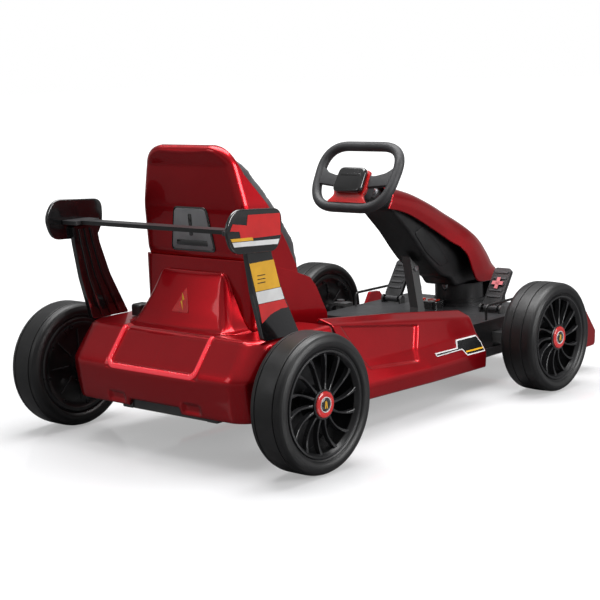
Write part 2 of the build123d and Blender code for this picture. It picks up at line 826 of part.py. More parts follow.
runner_l = 190.0
runner_wall = 4.0
runner_drop = 12.0
with BuildPart() as seat_runners:
    for side in (1, -1):
        with BuildSketch(cross_plane(seat_x + 125)):
            with Locations((side * rail_y, seat_floor - runner_drop / 2 - 4)):
                Rectangle(seat_rail_w + 2 * (slide_gap + runner_wall), runner_drop + 8)
            with Locations((side * rail_y, seat_rail_top + slide_gap - 20)):
                Rectangle(seat_rail_w + 2 * slide_gap, 40, mode=Mode.SUBTRACT)
        extrude(amount=runner_l / 2, both=True)

seat_runners.part.label = "seat_runners"
export_step(seat_runners.part, "parts/seat_runners.step")

back_half = seat_half - seat_wall
with BuildPart() as seat_shell:
    with BuildSketch(side_plane(0)):
        Polygon(
            *from_seat(
                (0, seat_floor), (0, 368), (8, 377), (32, 371), (76, 357),
                (124, 343), (178, 323), (197, 301), (212, 272), (228, 243), (232, 214), (220, seat_floor),
            ),
            align=None,
        )
    extrude(amount=seat_half, both=True)
    with BuildSketch(side_plane(0)):
        Polygon(
            *from_seat(
                (seat_wall, seat_floor + seat_wall), (seat_wall, 420), (270, 420),
                (270, 246), (221, 240), (216, seat_floor + seat_wall),
            ),
            align=None,
        )
    extrude(amount=back_half, both=True, mode=Mode.SUBTRACT)

seat_shell.part.label = "seat_shell"
export_step(seat_shell.part, "parts/seat_shell.step")

back_front = [(-14, back_top), (2, 592), (18, 543), (75, 471), (144, 352), (150, 330), (150, seat_floor + seat_wall)]
cavity_rear = [(18, seat_floor), (16.9, 241), (12, 470), (6, 560), (-2, 680)]
with BuildPart() as seat_back_shell:
    with BuildSketch(side_plane(0)):
        Polygon(
            *from_seat(
                (seat_wall, seat_floor + seat_wall), (seat_wall, 378),
                (1, 390), (-4, 470), (-11, 560), (-22, 592), *back_front,
            ),
            align=None,
        )
    extrude(amount=back_half, both=True)
    with BuildSketch(side_plane(0)):
        Polygon(*from_seat(*cavity_rear, (260, 680), (260, seat_floor)), align=None)
    extrude(amount=back_half - back_wall, both=True, mode=Mode.SUBTRACT)
    with BuildSketch(cross_plane(rear_x)):
        back_face = Polygon(
            (-back_half, seat_floor), (back_half, seat_floor), (back_half, 480), (back_half - 19, back_top),
            (19 - back_half, back_top), (-back_half, 480),
            align=None,
        )
        fillet(back_face.vertices().group_by(Axis.Y)[-1], radius=44)
    extrude(amount=330, mode=Mode.INTERSECT)

seat_back_shell.part.label = "seat_back_shell"
export_step(seat_back_shell.part, "parts/seat_back_shell.step")

pad_half = back_half - back_wall - pad_gap
pad_low = seat_floor + seat_wall + base_pad_h
with BuildPart() as seat_back_cushion:
    with BuildSketch(side_plane(0)):
        Polygon(
            *from_seat(
                (16.9, pad_low + 1), (12, 470), (6, 560), (6, 578), (19, 566), (70, 500), (138, 401),
                (162, 345), (162, 300), (90, pad_low + 1),
            ),
            align=None,
        )
    extrude(amount=pad_half, both=True)
    with BuildSketch(side_plane(0)):
        Polygon(
            *from_seat((20, 640), (32, 545), (44, 470), (62, 380), (74, 300), (80, pad_low - 20), (260, pad_low - 20), (260, 640)),
            align=None,
        )
    extrude(amount=pad_half - 24, both=True, mode=Mode.SUBTRACT)
    with BuildSketch(cross_plane(rear_x)):
        pad_face = Polygon(
            (-pad_half, pad_low), (pad_half, pad_low), (pad_half, 480), (pad_half - 19, 588), (19 - pad_half, 588), (-pad_half, 480),
            align=None,
        )
        fillet(pad_face.vertices().group_by(Axis.Y)[-1], radius=34)
    extrude(amount=330, mode=Mode.INTERSECT)

seat_back_cushion.part.label = "seat_back_cushion"
export_step(seat_back_cushion.part, "parts/seat_back_cushion.step")

with BuildPart() as seat_base_cushion:
    with BuildSketch(Plane.XY.offset(seat_floor + seat_wall)):
        with Locations((seat_x + 117, 0)):
            RectangleRounded(194, 2 * pad_half, 18)
    extrude(amount=base_pad_h)
    fillet(seat_base_cushion.faces().sort_by(Axis.Z)[-1].edges(), radius=10)

seat_base_cushion.part.label = "seat_base_cushion"
export_step(seat_base_cushion.part, "parts/seat_base_cushion.step")

with BuildPart() as seat_badge:
    with BuildSketch(side_plane(0)):
        Polygon(*from_seat((-5, 478), (1, 388), (-3, 387.6), (-9, 478)), align=None)
    extrude(amount=63, both=True)
    with BuildSketch(cross_plane(seat_x - 20)):
        badge_face = Polygon((-63, 387), (63, 387), (46, 478), (-46, 478), align=None)
        fillet(badge_face.vertices().group_by(Axis.Y)[-1], radius=10)
    extrude(amount=40, mode=Mode.INTERSECT)

seat_badge.part.label = "seat_badge"
export_step(seat_badge.part, "parts/seat_badge.step")

# A sprung hand knob stands on the deck beside the seat.
with BuildPart() as deck_knob:
    with BuildSketch(Plane.XY.offset(deck_z + 2)):
        with Locations((knob_x, knob_y)):
            RectangleRounded(36, 30, 8)
    extrude(amount=24)
    fillet(deck_knob.faces().sort_by(Axis.Z)[-1].edges(), radius=6)
    with BuildSketch(Plane.XY.offset(deck_z - 14)):
        with Locations((knob_x, knob_y)):
            Circle(knob_stem_r)
    extrude(amount=18)

deck_knob.part.label = "deck_knob"
export_step(deck_knob.part, "parts/deck_knob.step")

# ================================================================ steering wheel and column
with BuildPart() as steering_wheel:
    with BuildLine(wheel_plane) as rim_path:
        FilletPolyline(
            (0, wheel_h / 2 - wheel_rim_r),
            (wheel_w / 2 - wheel_rim_r + 4, wheel_h / 2 - wheel_rim_r),
            (wheel_w / 2 - wheel_rim_r - 10, -wheel_h / 2 + wheel_rim_r),
            (0, -wheel_h / 2 + wheel_rim_r),
            radius=wheel_corner_r - wheel_rim_r,
        )
    with BuildSketch(Plane(origin=rim_path.line @ 0, z_dir=rim_path.line % 0)):
        Circle(wheel_rim_r)
    sweep(path=rim_path.line)
    mirror(about=Plane.XZ)
    for side in (1, -1):
        with BuildSketch(wheel_plane.offset(-4)):
            Polygon((side * 10, 6), (side * (wheel_w / 2 - wheel_rim_r), 10),
                    (side * (wheel_w / 2 - wheel_rim_r - 2), -17), (side * 10, -19), align=None)
        extrude(amount=8)
    with BuildSketch(wheel_plane.offset(-8)):
        Polygon((-20, -4), (20, -4), (34, -wheel_h / 2 + wheel_rim_r), (-34, -wheel_h / 2 + wheel_rim_r), align=None)
    extrude(amount=7)
    with BuildSketch(wheel_plane.offset(-30)):
        Circle(24)
    extrude(amount=36)
    with BuildSketch(wheel_plane.offset(-40)):
        Circle(shaft_r)
    extrude(amount=30, mode=Mode.SUBTRACT)

steering_wheel.part.label = "steering_wheel"
export_step(steering_wheel.part, "parts/steering_wheel.step")

with BuildPart() as wheel_trim:
    with BuildSketch(wheel_plane):
        Polygon((-36, 18), (-36, -22), (-26, -36), (-30, -wheel_h / 2 + 2 * wheel_rim_r + 0.4),
                (30, -wheel_h / 2 + 2 * wheel_rim_r + 0.4), (26, -36), (36, -22), (36, 18), align=None)
        Circle(24, mode=Mode.SUBTRACT)
    extrude(amount=9)
    with BuildSketch(wheel_plane.offset(-5)):
        for side in (1, -1):
            Polygon((side * 8, 8), (side * 130, 12), (side * 130, -20), (side * 8, -22), align=None)
    extrude(amount=10.5, mode=Mode.SUBTRACT)

wheel_trim.part.label = "wheel_trim"
export_step(wheel_trim.part, "parts/wheel_trim.step")

with BuildPart() as wheel_pad:
    with BuildSketch(wheel_plane.offset(9)):
        RectangleRounded(82, 62, 14)
    extrude(amount=14)
    fillet(wheel_pad.faces().sort_by(SortBy.AREA)[-1].edges(), radius=3)

wheel_pad.part.label = "wheel_pad"
export_step(wheel_pad.part, "parts/wheel_pad.step")

cup_r = ball_r + ball_gap + 4
with BuildPart() as steering_shaft:
    with BuildSketch(wheel_plane.offset(-10)):
        Circle(shaft_r)
    extrude(amount=-(joint_to_wheel - 10 - ball_r))
    with BuildSketch(wheel_plane.offset(-joint_to_wheel - 3)):
        Circle(cup_r)
    extrude(amount=ball_r + 10)
    with Locations((shaft_top_x, 0, shaft_top_z)):
        Sphere(ball_r + ball_gap, mode=Mode.SUBTRACT)

steering_shaft.part.label = "steering_shaft"
export_step(steering_shaft.part, "parts/steering_shaft.step")

plate_t = 6.0
with BuildPart() as lower_shaft:
    with BuildSketch(lower_plane.offset(-plate_t / 2)):
        Circle(shaft_r)
    extrude(amount=lower_len + plate_t / 2)
    with Locations((shaft_top_x, 0, shaft_top_z)):
        Sphere(ball_r)
    with BuildSketch(lower_plane.offset(-plate_t / 2)):
        Circle(13)
        with Locations((pitman_len / 2, 0)):
            Rectangle(pitman_len, 18)
        with Locations((pitman_len, 0)):
            Circle(9)
    extrude(amount=plate_t)
    with BuildSketch(lower_plane.offset(-plate_t / 2 - washer_t - eye_t - 2)):
        with Locations((pitman_len, 0)):
            Circle(tie_pin_r)
    extrude(amount=plate_t + 2 * (washer_t + eye_t) + 4)

lower_shaft.part.label = "lower_shaft"
export_step(lower_shaft.part, "parts/lower_shaft.step")


def tie_rod(side):
    """Tie rod from the pitman pin to the knuckle arm's pin; its outer eye is open round that pin."""
    stack = side * (plate_t / 2 + washer_t + eye_t / 2)
    eye_plane = lower_plane.offset(stack - eye_t / 2)
    inner = lower_plane.from_local_coords((pitman_len, 0, stack))
    outer = Vector(tie_eye_x, side * kingpin_y, tie_eye_z)
    run = (outer - inner).normalized()
    start = inner + run * 9
    finish = outer - run * 12
    with BuildPart() as rod:
        with BuildSketch(eye_plane):
            with Locations((pitman_len, 0)):
                Circle(10)
        extrude(amount=eye_t)
        with BuildSketch(Plane.XY.offset(tie_eye_z - eye_t / 2)):
            with Locations((tie_eye_x, side * kingpin_y)):
                Circle(tie_pin_r + tie_open_gap + 4)
        extrude(amount=eye_t)
        with BuildSketch(Plane(origin=start, z_dir=run)):
            Circle(tie_rod_r)
        extrude(amount=(finish - start).length)
        with BuildSketch(eye_plane.offset(-6)):
            with Locations((pitman_len, 0)):
                Circle(tie_pin_r + running_gap)
        extrude(amount=eye_t + 12, mode=Mode.SUBTRACT)
        with BuildSketch(Plane.XY.offset(tie_eye_z - 20)):
            with Locations((tie_eye_x, side * kingpin_y)):
                Circle(tie_pin_r + tie_open_gap)
        extrude(amount=40, mode=Mode.SUBTRACT)
    return rod


tie_rod_left = tie_rod(1)
tie_rod_left.part.label = "tie_rod_left"
export_step(tie_rod_left.part, "parts/tie_rod_left.step")

tie_rod_right = tie_rod(-1)
tie_rod_right.part.label = "tie_rod_right"
export_step(tie_rod_right.part, "parts/tie_rod_right.step")

# ================================================================ knuckles
spindle_end = front_track / 2 + hub_end + end_play + head_t
arm_z = front_axle_z - barrel_h / 2
with BuildPart() as knuckle_left:
    with BuildSketch(Plane.XY.offset(arm_z)):
        with Locations((front_x, kingpin_y)):
            Circle(barrel_r)
    extrude(amount=barrel_h)
    with BuildSketch(Plane.XY.offset(arm_z)):
        with Locations((front_x + knuckle_arm / 2, kingpin_y)):
            Rectangle(knuckle_arm, 14)
        with Locations((tie_eye_x, kingpin_y)):
            Circle(8)
    extrude(amount=4)
    with BuildSketch(Plane.XY.offset(arm_z)):
        with Locations((tie_eye_x, kingpin_y)):
            Circle(tie_pin_r)
    extrude(amount=22)
    with BuildSketch(side_plane(kingpin_y)):
        with Locations((front_x, front_axle_z)):
            Circle(axle_r)
    extrude(amount=-(spindle_end - kingpin_y))
    with BuildSketch(side_plane(spindle_end - head_t / 2)):
        with Locations((front_x, front_axle_z)):
            RegularPolygon(radius=head_r, side_count=6)
    extrude(amount=head_t / 2, both=True)
    with BuildSketch(Plane.XY.offset(arm_z - 5)):
        with Locations((front_x, kingpin_y)):
            Circle(kingpin_r + running_gap)
    extrude(amount=barrel_h + 10, mode=Mode.SUBTRACT)

knuckle_left.part.label = "knuckle_left"
export_step(knuckle_left.part, "parts/knuckle_left.step")

with BuildPart() as knuckle_right:
    mirror(knuckle_left.part, about=Plane.XZ)

knuckle_right.part.label = "knuckle_right"
export_step(knuckle_right.part, "parts/knuckle_right.step")

# ================================================================ wheels
def wheel_section(axle_x, mid_y, axle_z):
    """Half-section plane of a left wheel: local x runs outboard, local y is the radius."""
    return Plane(origin=(axle_x, mid_y, axle_z), x_dir=(0, 1, 0), z_dir=(1, 0, 0))


def make_tyre(axle_x, mid_y, tyre_r, tyre_w, rim_r, groove_w):
    """Hollow-section tyre with bulged walls and a tread groove each side of the centre."""
    half = tyre_w / 2
    with BuildPart() as tyre:
        with BuildSketch(wheel_section(axle_x, mid_y, tyre_r)):
            with BuildLine():
                Polyline(
                    (-half + 8, rim_r), (-half + 3, rim_r + 3), (-half, rim_r + 13), (-half + 1.5, tyre_r - 9),
                    (-half + 7, tyre_r - 3), (-half + 14, tyre_r - 0.8),
                    (-groove_w - 1.5, tyre_r), (-groove_w - 1.2, tyre_r - 2.5), (-groove_w + 1.2, tyre_r - 2.5),
                    (-groove_w + 1.5, tyre_r), (groove_w - 1.5, tyre_r), (groove_w - 1.2, tyre_r - 2.5),
                    (groove_w + 1.2, tyre_r - 2.5), (groove_w + 1.5, tyre_r), (half - 14, tyre_r - 0.8),
                    (half - 7, tyre_r - 3), (half - 1.5, tyre_r - 9), (half, rim_r + 13), (half - 3, rim_r + 3),
                    (half - 8, rim_r),
                    close=True,
                )
            make_face()
        revolve(axis=Axis((axle_x, mid_y, tyre_r), (0, 1, 0)))
    return tyre


def make_rim(axle_x, mid_y, tyre_r, tyre_w, rim_r, hub_in):
    """Rim with a closed inner disc, a hub that reaches in to hub_in, and bladed outer spokes."""
    half = tyre_w / 2 - 8
    with BuildPart() as rim:
        with BuildSketch(wheel_section(axle_x, mid_y, tyre_r)):
            with BuildLine():
                Polyline(
                    (-half, rim_r), (half, rim_r), (half + 2, rim_r - 4), (half - 6, rim_r - 15),
                    (half - 9, rim_r - 15), (half - 9, rim_r - 6), (-half + rim_disc_t + 3, rim_r - 6),
                    (-half + rim_disc_t + 10, 40), (-half + rim_disc_t + 8, hub_r), (hub_end, hub_r),
                    (hub_end, axle_r + running_gap), (hub_in - mid_y, axle_r + running_gap),
                    (hub_in - mid_y, hub_r), (-half + 4, hub_r), (-half + 8, 40), (-half, rim_r - 8),
                    close=True,
                )
            make_face()
        revolve(axis=Axis((axle_x, mid_y, tyre_r), (0, 1, 0)))
        with BuildSketch(side_plane(mid_y + half - 1)):
            with Locations((axle_x, tyre_r)):
                Circle(cap_r + 4)
        extrude(amount=half - 1)
        with BuildSketch(side_plane(mid_y + half - 9)):
            with Locations((axle_x, tyre_r)):
                with PolarLocations((rim_r - 7 + cap_r) / 2, spoke_count):
                    Rectangle(rim_r - 7 - cap_r, 5, rotation=6)
        extrude(amount=9)
        with BuildSketch(side_plane(mid_y + hub_end)):
            with Locations((axle_x, tyre_r)):
                Circle(head_r + 2)
        extrude(amount=-tyre_w, mode=Mode.SUBTRACT)
        with BuildSketch(side_plane(mid_y + hub_end)):
            with Locations((axle_x, tyre_r)):
                Circle(axle_r + running_gap)
        extrude(amount=tyre_w, mode=Mode.SUBTRACT)
    return rim


def make_cap(axle_x, mid_y, tyre_r, tyre_w):
    """Domed hub cap that plugs the mouth of the hub."""
    half = tyre_w / 2 - 8
    with BuildPart() as cap:
        with BuildSketch(side_plane(mid_y + half - 1)):
            with Locations((axle_x, tyre_r)):
                Circle(cap_r)
        extrude(amount=-4)
        fillet(cap.edges().group_by(Axis.Y)[-1], radius=2.5)
        with BuildSketch(side_plane(mid_y + half - 1)):
            with Locations((axle_x, tyre_r)):
                Circle(head_r + 2)
        extrude(amount=3)
    return cap


rear_mid = rear_track / 2
front_mid = front_track / 2

tyre_rear_left = make_tyre(rear_x, rear_mid, rear_tyre_r, rear_tyre_w, rear_rim_r, 22)
tyre_rear_left.part.label = "tyre_rear_left"
export_step(tyre_rear_left.part, "parts/tyre_rear_left.step")

with BuildPart() as tyre_rear_right:
    mirror(tyre_rear_left.part, about=Plane.XZ)

tyre_rear_right.part.label = "tyre_rear_right"
export_step(tyre_rear_right.part, "parts/tyre_rear_right.step")

rim_rear_left = make_rim(rear_x, rear_mid, rear_tyre_r, rear_tyre_w, rear_rim_r, gearbox_out + 3)
rim_rear_left.part.label = "rim_rear_left"
export_step(rim_rear_left.part, "parts/rim_rear_left.step")

with BuildPart() as rim_rear_right:
    mirror(rim_rear_left.part, about=Plane.XZ)

rim_rear_right.part.label = "rim_rear_right"
export_step(rim_rear_right.part, "parts/rim_rear_right.step")

cap_rear_left = make_cap(rear_x, rear_mid, rear_tyre_r, rear_tyre_w)
cap_rear_left.part.label = "cap_rear_left"
export_step(cap_rear_left.part, "parts/cap_rear_left.step")

with BuildPart() as cap_rear_right:
    mirror(cap_rear_left.part, about=Plane.XZ)

cap_rear_right.part.label = "cap_rear_right"
export_step(cap_rear_right.part, "parts/cap_rear_right.step")

tyre_front_left = make_tyre(front_x, front_mid, front_tyre_r, front_tyre_w, front_rim_r, 14)
tyre_front_left.part.label = "tyre_front_left"
export_step(tyre_front_left.part, "parts/tyre_front_left.step")

with BuildPart() as tyre_front_right:
    mirror(tyre_front_left.part, about=Plane.XZ)

tyre_front_right.part.label = "tyre_front_right"
export_step(tyre_front_right.part, "parts/tyre_front_right.step")

rim_front_left = make_rim(front_x, front_mid, front_tyre_r, front_tyre_w, front_rim_r, kingpin_y + barrel_r + 4)
rim_front_left.part.label = "rim_front_left"
export_step(rim_front_left.part, "parts/rim_front_left.step")

with BuildPart() as rim_front_right:
    mirror(rim_front_left.part, about=Plane.XZ)

rim_front_right.part.label = "rim_front_right"
export_step(rim_front_right.part, "parts/rim_front_right.step")

cap_front_left = make_cap(front_x, front_mid, front_tyre_r, front_tyre_w)
cap_front_left.part.label = "cap_front_left"
export_step(cap_front_left.part, "parts/cap_front_left.step")

with BuildPart() as cap_front_right:
    mirror(cap_front_left.part, about=Plane.XZ)

cap_front_right.part.label = "cap_front_right"
export_step(cap_front_right.part, "parts/cap_front_right.step")
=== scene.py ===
import json
import math
import bpy
import bmesh
import numpy as np
from mathutils import Matrix, Vector


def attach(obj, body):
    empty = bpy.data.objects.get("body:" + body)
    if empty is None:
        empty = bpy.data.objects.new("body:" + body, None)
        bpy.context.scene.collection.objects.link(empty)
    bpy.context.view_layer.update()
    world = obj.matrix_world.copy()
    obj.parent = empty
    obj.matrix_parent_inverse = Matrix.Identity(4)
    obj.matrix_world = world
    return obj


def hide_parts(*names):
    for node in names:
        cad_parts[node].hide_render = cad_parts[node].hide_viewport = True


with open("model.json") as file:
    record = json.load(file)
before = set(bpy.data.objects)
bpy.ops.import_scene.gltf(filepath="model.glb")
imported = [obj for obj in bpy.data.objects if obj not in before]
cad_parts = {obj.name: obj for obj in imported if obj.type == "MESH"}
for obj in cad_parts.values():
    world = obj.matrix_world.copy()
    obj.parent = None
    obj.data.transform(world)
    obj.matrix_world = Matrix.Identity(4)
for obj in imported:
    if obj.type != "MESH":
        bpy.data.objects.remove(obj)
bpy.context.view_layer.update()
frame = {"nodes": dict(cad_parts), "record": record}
nodes = frame["nodes"]

# Shapes are written in millimetres from the rear axle line, and put() turns them into the row frame.
REAR = 467.5
WHEELBASE = 812.0


def put(points):
    """Millimetres from the rear axle line to metres in the row frame."""
    out = np.asarray(points, float).copy()
    out[..., 0] -= REAR
    return out / 1000.0


# ---------------------------------------------------------------- materials
def new_material(name, colour, roughness, metallic=0.0):
    """A Principled material and its nodes, with the constants set on the shader."""
    material = bpy.data.materials.new(name)
    material.use_nodes = True
    shader = material.node_tree.nodes["Principled BSDF"]
    shader.inputs["Base Color"].default_value = (*colour, 1)
    shader.inputs["Roughness"].default_value = roughness
    shader.inputs["Metallic"].default_value = metallic
    return material, material.node_tree, shader


def link_noise(tree, scale, detail=4.0):
    """Noise in the object's own coordinates."""
    where = tree.nodes.new("ShaderNodeTexCoord")
    noise = tree.nodes.new("ShaderNodeTexNoise")
    noise.inputs["Scale"].default_value = scale
    noise.inputs["Detail"].default_value = detail
    tree.links.new(where.outputs["Object"], noise.inputs["Vector"])
    return noise


def map_range(tree, from_low, from_high, to_low, to_high):
    """Map Range node between two spans."""
    node = tree.nodes.new("ShaderNodeMapRange")
    for socket, value in (("From Min", from_low), ("From Max", from_high), ("To Min", to_low), ("To Max", to_high)):
        node.inputs[socket].default_value = value
    return node


def vary_roughness(tree, shader, scale, low, high):
    """Roughness that wanders between two values."""
    noise = link_noise(tree, scale)
    spread = map_range(tree, 0.3, 0.7, low, high)
    tree.links.new(noise.outputs["Fac"], spread.inputs["Value"])
    tree.links.new(spread.outputs["Result"], shader.inputs["Roughness"])


def vary_colour(tree, shader, scale, dark, light):
    """Base colour that wanders between two tones."""
    noise = link_noise(tree, scale)
    ramp = tree.nodes.new("ShaderNodeValToRGB")
    ramp.color_ramp.elements[0].position = 0.35
    ramp.color_ramp.elements[0].color = (*dark, 1)
    ramp.color_ramp.elements[1].position = 0.65
    ramp.color_ramp.elements[1].color = (*light, 1)
    tree.links.new(noise.outputs["Fac"], ramp.inputs["Fac"])
    tree.links.new(ramp.outputs["Color"], shader.inputs["Base Color"])
    return ramp


def add_bump(tree, shader, height, strength, distance):
    """Bump from a height output; a second one is chained on the first."""
    bump = tree.nodes.new("ShaderNodeBump")
    bump.inputs["Strength"].default_value = strength
    bump.inputs["Distance"].default_value = distance
    tree.links.new(height, bump.inputs["Height"])
    socket = shader.inputs["Normal"]
    if socket.is_linked:
        tree.links.new(socket.links[0].from_socket, bump.inputs["Normal"])
    tree.links.new(bump.outputs["Normal"], socket)


def lighten_convex_edges(tree, shader, ramp, tone):
    """A lighter tone where the surface is sharply convex."""
    geometry = tree.nodes.new("ShaderNodeNewGeometry")
    spread = map_range(tree, 0.54, 0.62, 0.0, 0.45)
    mix = tree.nodes.new("ShaderNodeMix")
    mix.data_type = "RGBA"
    mix.inputs["B"].default_value = (*tone, 1)
    tree.links.new(geometry.outputs["Pointiness"], spread.inputs["Value"])
    tree.links.new(spread.outputs["Result"], mix.inputs["Factor"])
    tree.links.new(ramp.outputs["Color"], mix.inputs["A"])
    tree.links.new(mix.outputs["Result"], shader.inputs["Base Color"])


def candy_red():
    """Metallic red basecoat with fine flake under clear lacquer."""
    material, tree, shader = new_material("painted_red", (0.46, 0.0002, 0.006), 0.30, 0.85)
    vary_colour(tree, shader, 1400, (0.36, 0.0001, 0.004), (0.50, 0.0002, 0.008))
    vary_roughness(tree, shader, 12, 0.30, 0.37)
    add_bump(tree, shader, link_noise(tree, 1800, 1).outputs["Fac"], 0.03, 0.0001)
    shader.inputs["Coat Weight"].default_value = 0.7
    shader.inputs["Coat Roughness"].default_value = 0.04
    shader.inputs["Coat IOR"].default_value = 1.4
    return material


def moulded(name, dark, light, low, high, grain=0.2, scale=900, edge_tone=(0.08, 0.08, 0.085)):
    """Moulded plastic with a fine grain, uneven sheen and a lighter tone on sharply convex edges."""
    material, tree, shader = new_material(name, light, high)
    ramp = vary_colour(tree, shader, 22, dark, light)
    # A lighter tone on sharply convex edges.
    lighten_convex_edges(tree, shader, ramp, edge_tone)
    vary_roughness(tree, shader, 30, low, high)
    add_bump(tree, shader, link_noise(tree, scale, 3).outputs["Fac"], grain, 0.0004)
    return material


def gloss(name, colour, coat=1.0, metallic=0.0):
    """Gloss plastic with a faint ripple and a clear top."""
    material, tree, shader = new_material(name, colour, 0.2, metallic)
    vary_roughness(tree, shader, 40, 0.12, 0.22)
    vary_colour(tree, shader, 30, tuple(0.85 * c for c in colour), colour)
    add_bump(tree, shader, link_noise(tree, 60, 2).outputs["Fac"], 0.03, 0.0004)
    shader.inputs["Coat Weight"].default_value = coat
    shader.inputs["Coat Roughness"].default_value = 0.05
    return material


def tyre_rubber():
    """Satin tyre rubber with mould grain and faint dust."""
    material, tree, shader = new_material("tyre", (0.013, 0.013, 0.014), 0.45)
    ramp = vary_colour(tree, shader, 18, (0.0055, 0.0055, 0.006), (0.010, 0.010, 0.0105))
    # A lighter tone on sharply convex edges.
    lighten_convex_edges(tree, shader, ramp, (0.05, 0.05, 0.05))
    vary_roughness(tree, shader, 25, 0.36, 0.52)
    add_bump(tree, shader, link_noise(tree, 700, 4).outputs["Fac"], 0.25, 0.0005)
    return material


def brushed():
    """Zinc-plated steel with fine brushing."""
    material, tree, shader = new_material("bright_steel", (0.55, 0.55, 0.57), 0.3, 1.0)
    where = tree.nodes.new("ShaderNodeTexCoord")
    stretch = tree.nodes.new("ShaderNodeMapping")
    stretch.inputs["Scale"].default_value = (30, 900, 900)
    noise = tree.nodes.new("ShaderNodeTexNoise")
    tree.links.new(where.outputs["Object"], stretch.inputs["Vector"])
    tree.links.new(stretch.outputs["Vector"], noise.inputs["Vector"])
    add_bump(tree, shader, noise.outputs["Fac"], 0.15, 0.0003)
    vary_roughness(tree, shader, 60, 0.22, 0.4)
    return material


def seat_fabric():
    """Dark grey seat covering with a woven grain."""
    material, tree, shader = new_material("seat_foam", (0.035, 0.035, 0.038), 0.8)
    vary_colour(tree, shader, 35, (0.026, 0.026, 0.029), (0.046, 0.046, 0.050))
    where = tree.nodes.new("ShaderNodeTexCoord")
    weave = []
    for axis in ("X", "Z"):
        wave = tree.nodes.new("ShaderNodeTexWave")
        wave.bands_direction = axis
        wave.inputs["Scale"].default_value = 240
        tree.links.new(where.outputs["Object"], wave.inputs["Vector"])
        weave.append(wave)
    across = tree.nodes.new("ShaderNodeMath")
    across.operation = "MULTIPLY"
    tree.links.new(weave[0].outputs["Fac"], across.inputs[0])
    tree.links.new(weave[1].outputs["Fac"], across.inputs[1])
    add_bump(tree, shader, across.outputs["Value"], 0.35, 0.0006)
    add_bump(tree, shader, link_noise(tree, 50, 3).outputs["Fac"], 0.15, 0.002)
    shader.inputs["Sheen Weight"].default_value = 0.35
    shader.inputs["Sheen Roughness"].default_value = 0.4
    return material


def lens_red():
    """Translucent red lens with moulded flutes and a painted glow."""
    material, tree, shader = new_material("red_lens", (0.80, 0.02, 0.03), 0.15)
    where = tree.nodes.new("ShaderNodeTexCoord")
    wave = tree.nodes.new("ShaderNodeTexWave")
    wave.bands_direction = "Y"
    wave.inputs["Scale"].default_value = 90
    tree.links.new(where.outputs["Object"], wave.inputs["Vector"])
    add_bump(tree, shader, wave.outputs["Fac"], 0.5, 0.0008)
    vary_roughness(tree, shader, 80, 0.1, 0.2)
    shader.inputs["Transmission Weight"].default_value = 0.15
    # Painted glow: emission brightens the lens beyond the light it catches from the studio lamps.
    shader.inputs["Emission Color"].default_value = (1.0, 0.05, 0.08, 1)
    shader.inputs["Emission Strength"].default_value = 0.42
    shader.inputs["Coat Weight"].default_value = 1.0
    return material


MATERIALS = {
    "painted_red": candy_red(),
    "bright_red": gloss("bright_red", (0.62, 0.012, 0.012)),
    "red_lens": lens_red(),
    "switch_red": gloss("switch_red", (0.75, 0.03, 0.01)),
    "gloss_black": gloss("gloss_black", (0.006, 0.006, 0.0065)),
    "black_plastic": moulded("black_plastic", (0.006, 0.006, 0.0065), (0.010, 0.010, 0.011), 0.34, 0.48),
    "grey_plastic": moulded("grey_plastic", (0.20, 0.20, 0.21), (0.27, 0.27, 0.28), 0.4, 0.5, edge_tone=(0.4, 0.4, 0.4)),
    "rim_black": moulded("rim_black", (0.006, 0.006, 0.0065), (0.010, 0.010, 0.011), 0.26, 0.36, 0.12),
    "wheel_grip": moulded("wheel_grip", (0.028, 0.028, 0.030), (0.042, 0.042, 0.045), 0.45, 0.6, 0.4, 420),
    "tyre": tyre_rubber(),
    "seat_foam": seat_fabric(),
    "black_steel": moulded("black_steel", (0.006, 0.006, 0.0065), (0.011, 0.011, 0.012), 0.3, 0.42, 0.3,
        500, (0.2, 0.2, 0.2)),
    "bright_steel": brushed(),
    "white_mark": gloss("white_mark", (0.75, 0.75, 0.75)),
    "yellow_mark": gloss("yellow_mark", (0.80, 0.42, 0.02)),
    "red_mark": gloss("red_mark", (0.60, 0.015, 0.015)),
    "grey_mark": gloss("grey_mark", (0.30, 0.30, 0.31)),
    "pink_mark": gloss("pink_mark", (0.72, 0.22, 0.24)),
}


# ---------------------------------------------------------------- mesh helpers
def smooth_step(x):
    """0 to 1 with flat ends."""
    x = np.clip(x, 0, 1)
    return x * x * (3 - 2 * x)


def spline(values, count):
    """Catmull-Rom through rows of values, evenly in their order."""
    values = np.asarray(values, float)
    last = len(values) - 1
    t = np.linspace(0, last, count)
    i = np.minimum(t.astype(int), last - 1)
    f = (t - i).reshape((-1,) + (1,) * (values.ndim - 1))
    before = values[np.maximum(i - 1, 0)]
    start = values[i]
    end = values[i + 1]
    after = values[np.minimum(i + 2, last)]
    return 0.5 * (
        2 * start + (end - before) * f
        + (2 * before - 5 * start + 4 * end - after) * f**2
        + (3 * start - before - 3 * end + after) * f**3
    )


def resample(line, count):
    """Evenly spaced points along a polyline."""
    line = np.asarray(line, float)
    run = np.concatenate([[0], np.cumsum(np.linalg.norm(np.diff(line, axis=0), axis=1))])
    want = np.linspace(0, run[-1], count)
    return np.stack([np.interp(want, run, line[:, k]) for k in range(line.shape[1])], axis=1)


def soften(points, passes):
    """Rounds a polyline's corners by averaging neighbours, ends held."""
    points = points.copy()
    for _ in range(passes):
        points[1:-1] = 0.25 * points[:-2] + 0.5 * points[1:-1] + 0.25 * points[2:]
    return points


def finish_piece(piece, slot, body, stands_for=(), smooth=True):
    """Material, body, slot and replaced nodes of a piece."""
    piece.data.materials.clear()
    piece.data.materials.append(MATERIALS[slot])
    for polygon in piece.data.polygons:
        polygon.use_smooth = smooth
    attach(piece, body)
    if stands_for:
        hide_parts(*stands_for)
    return piece


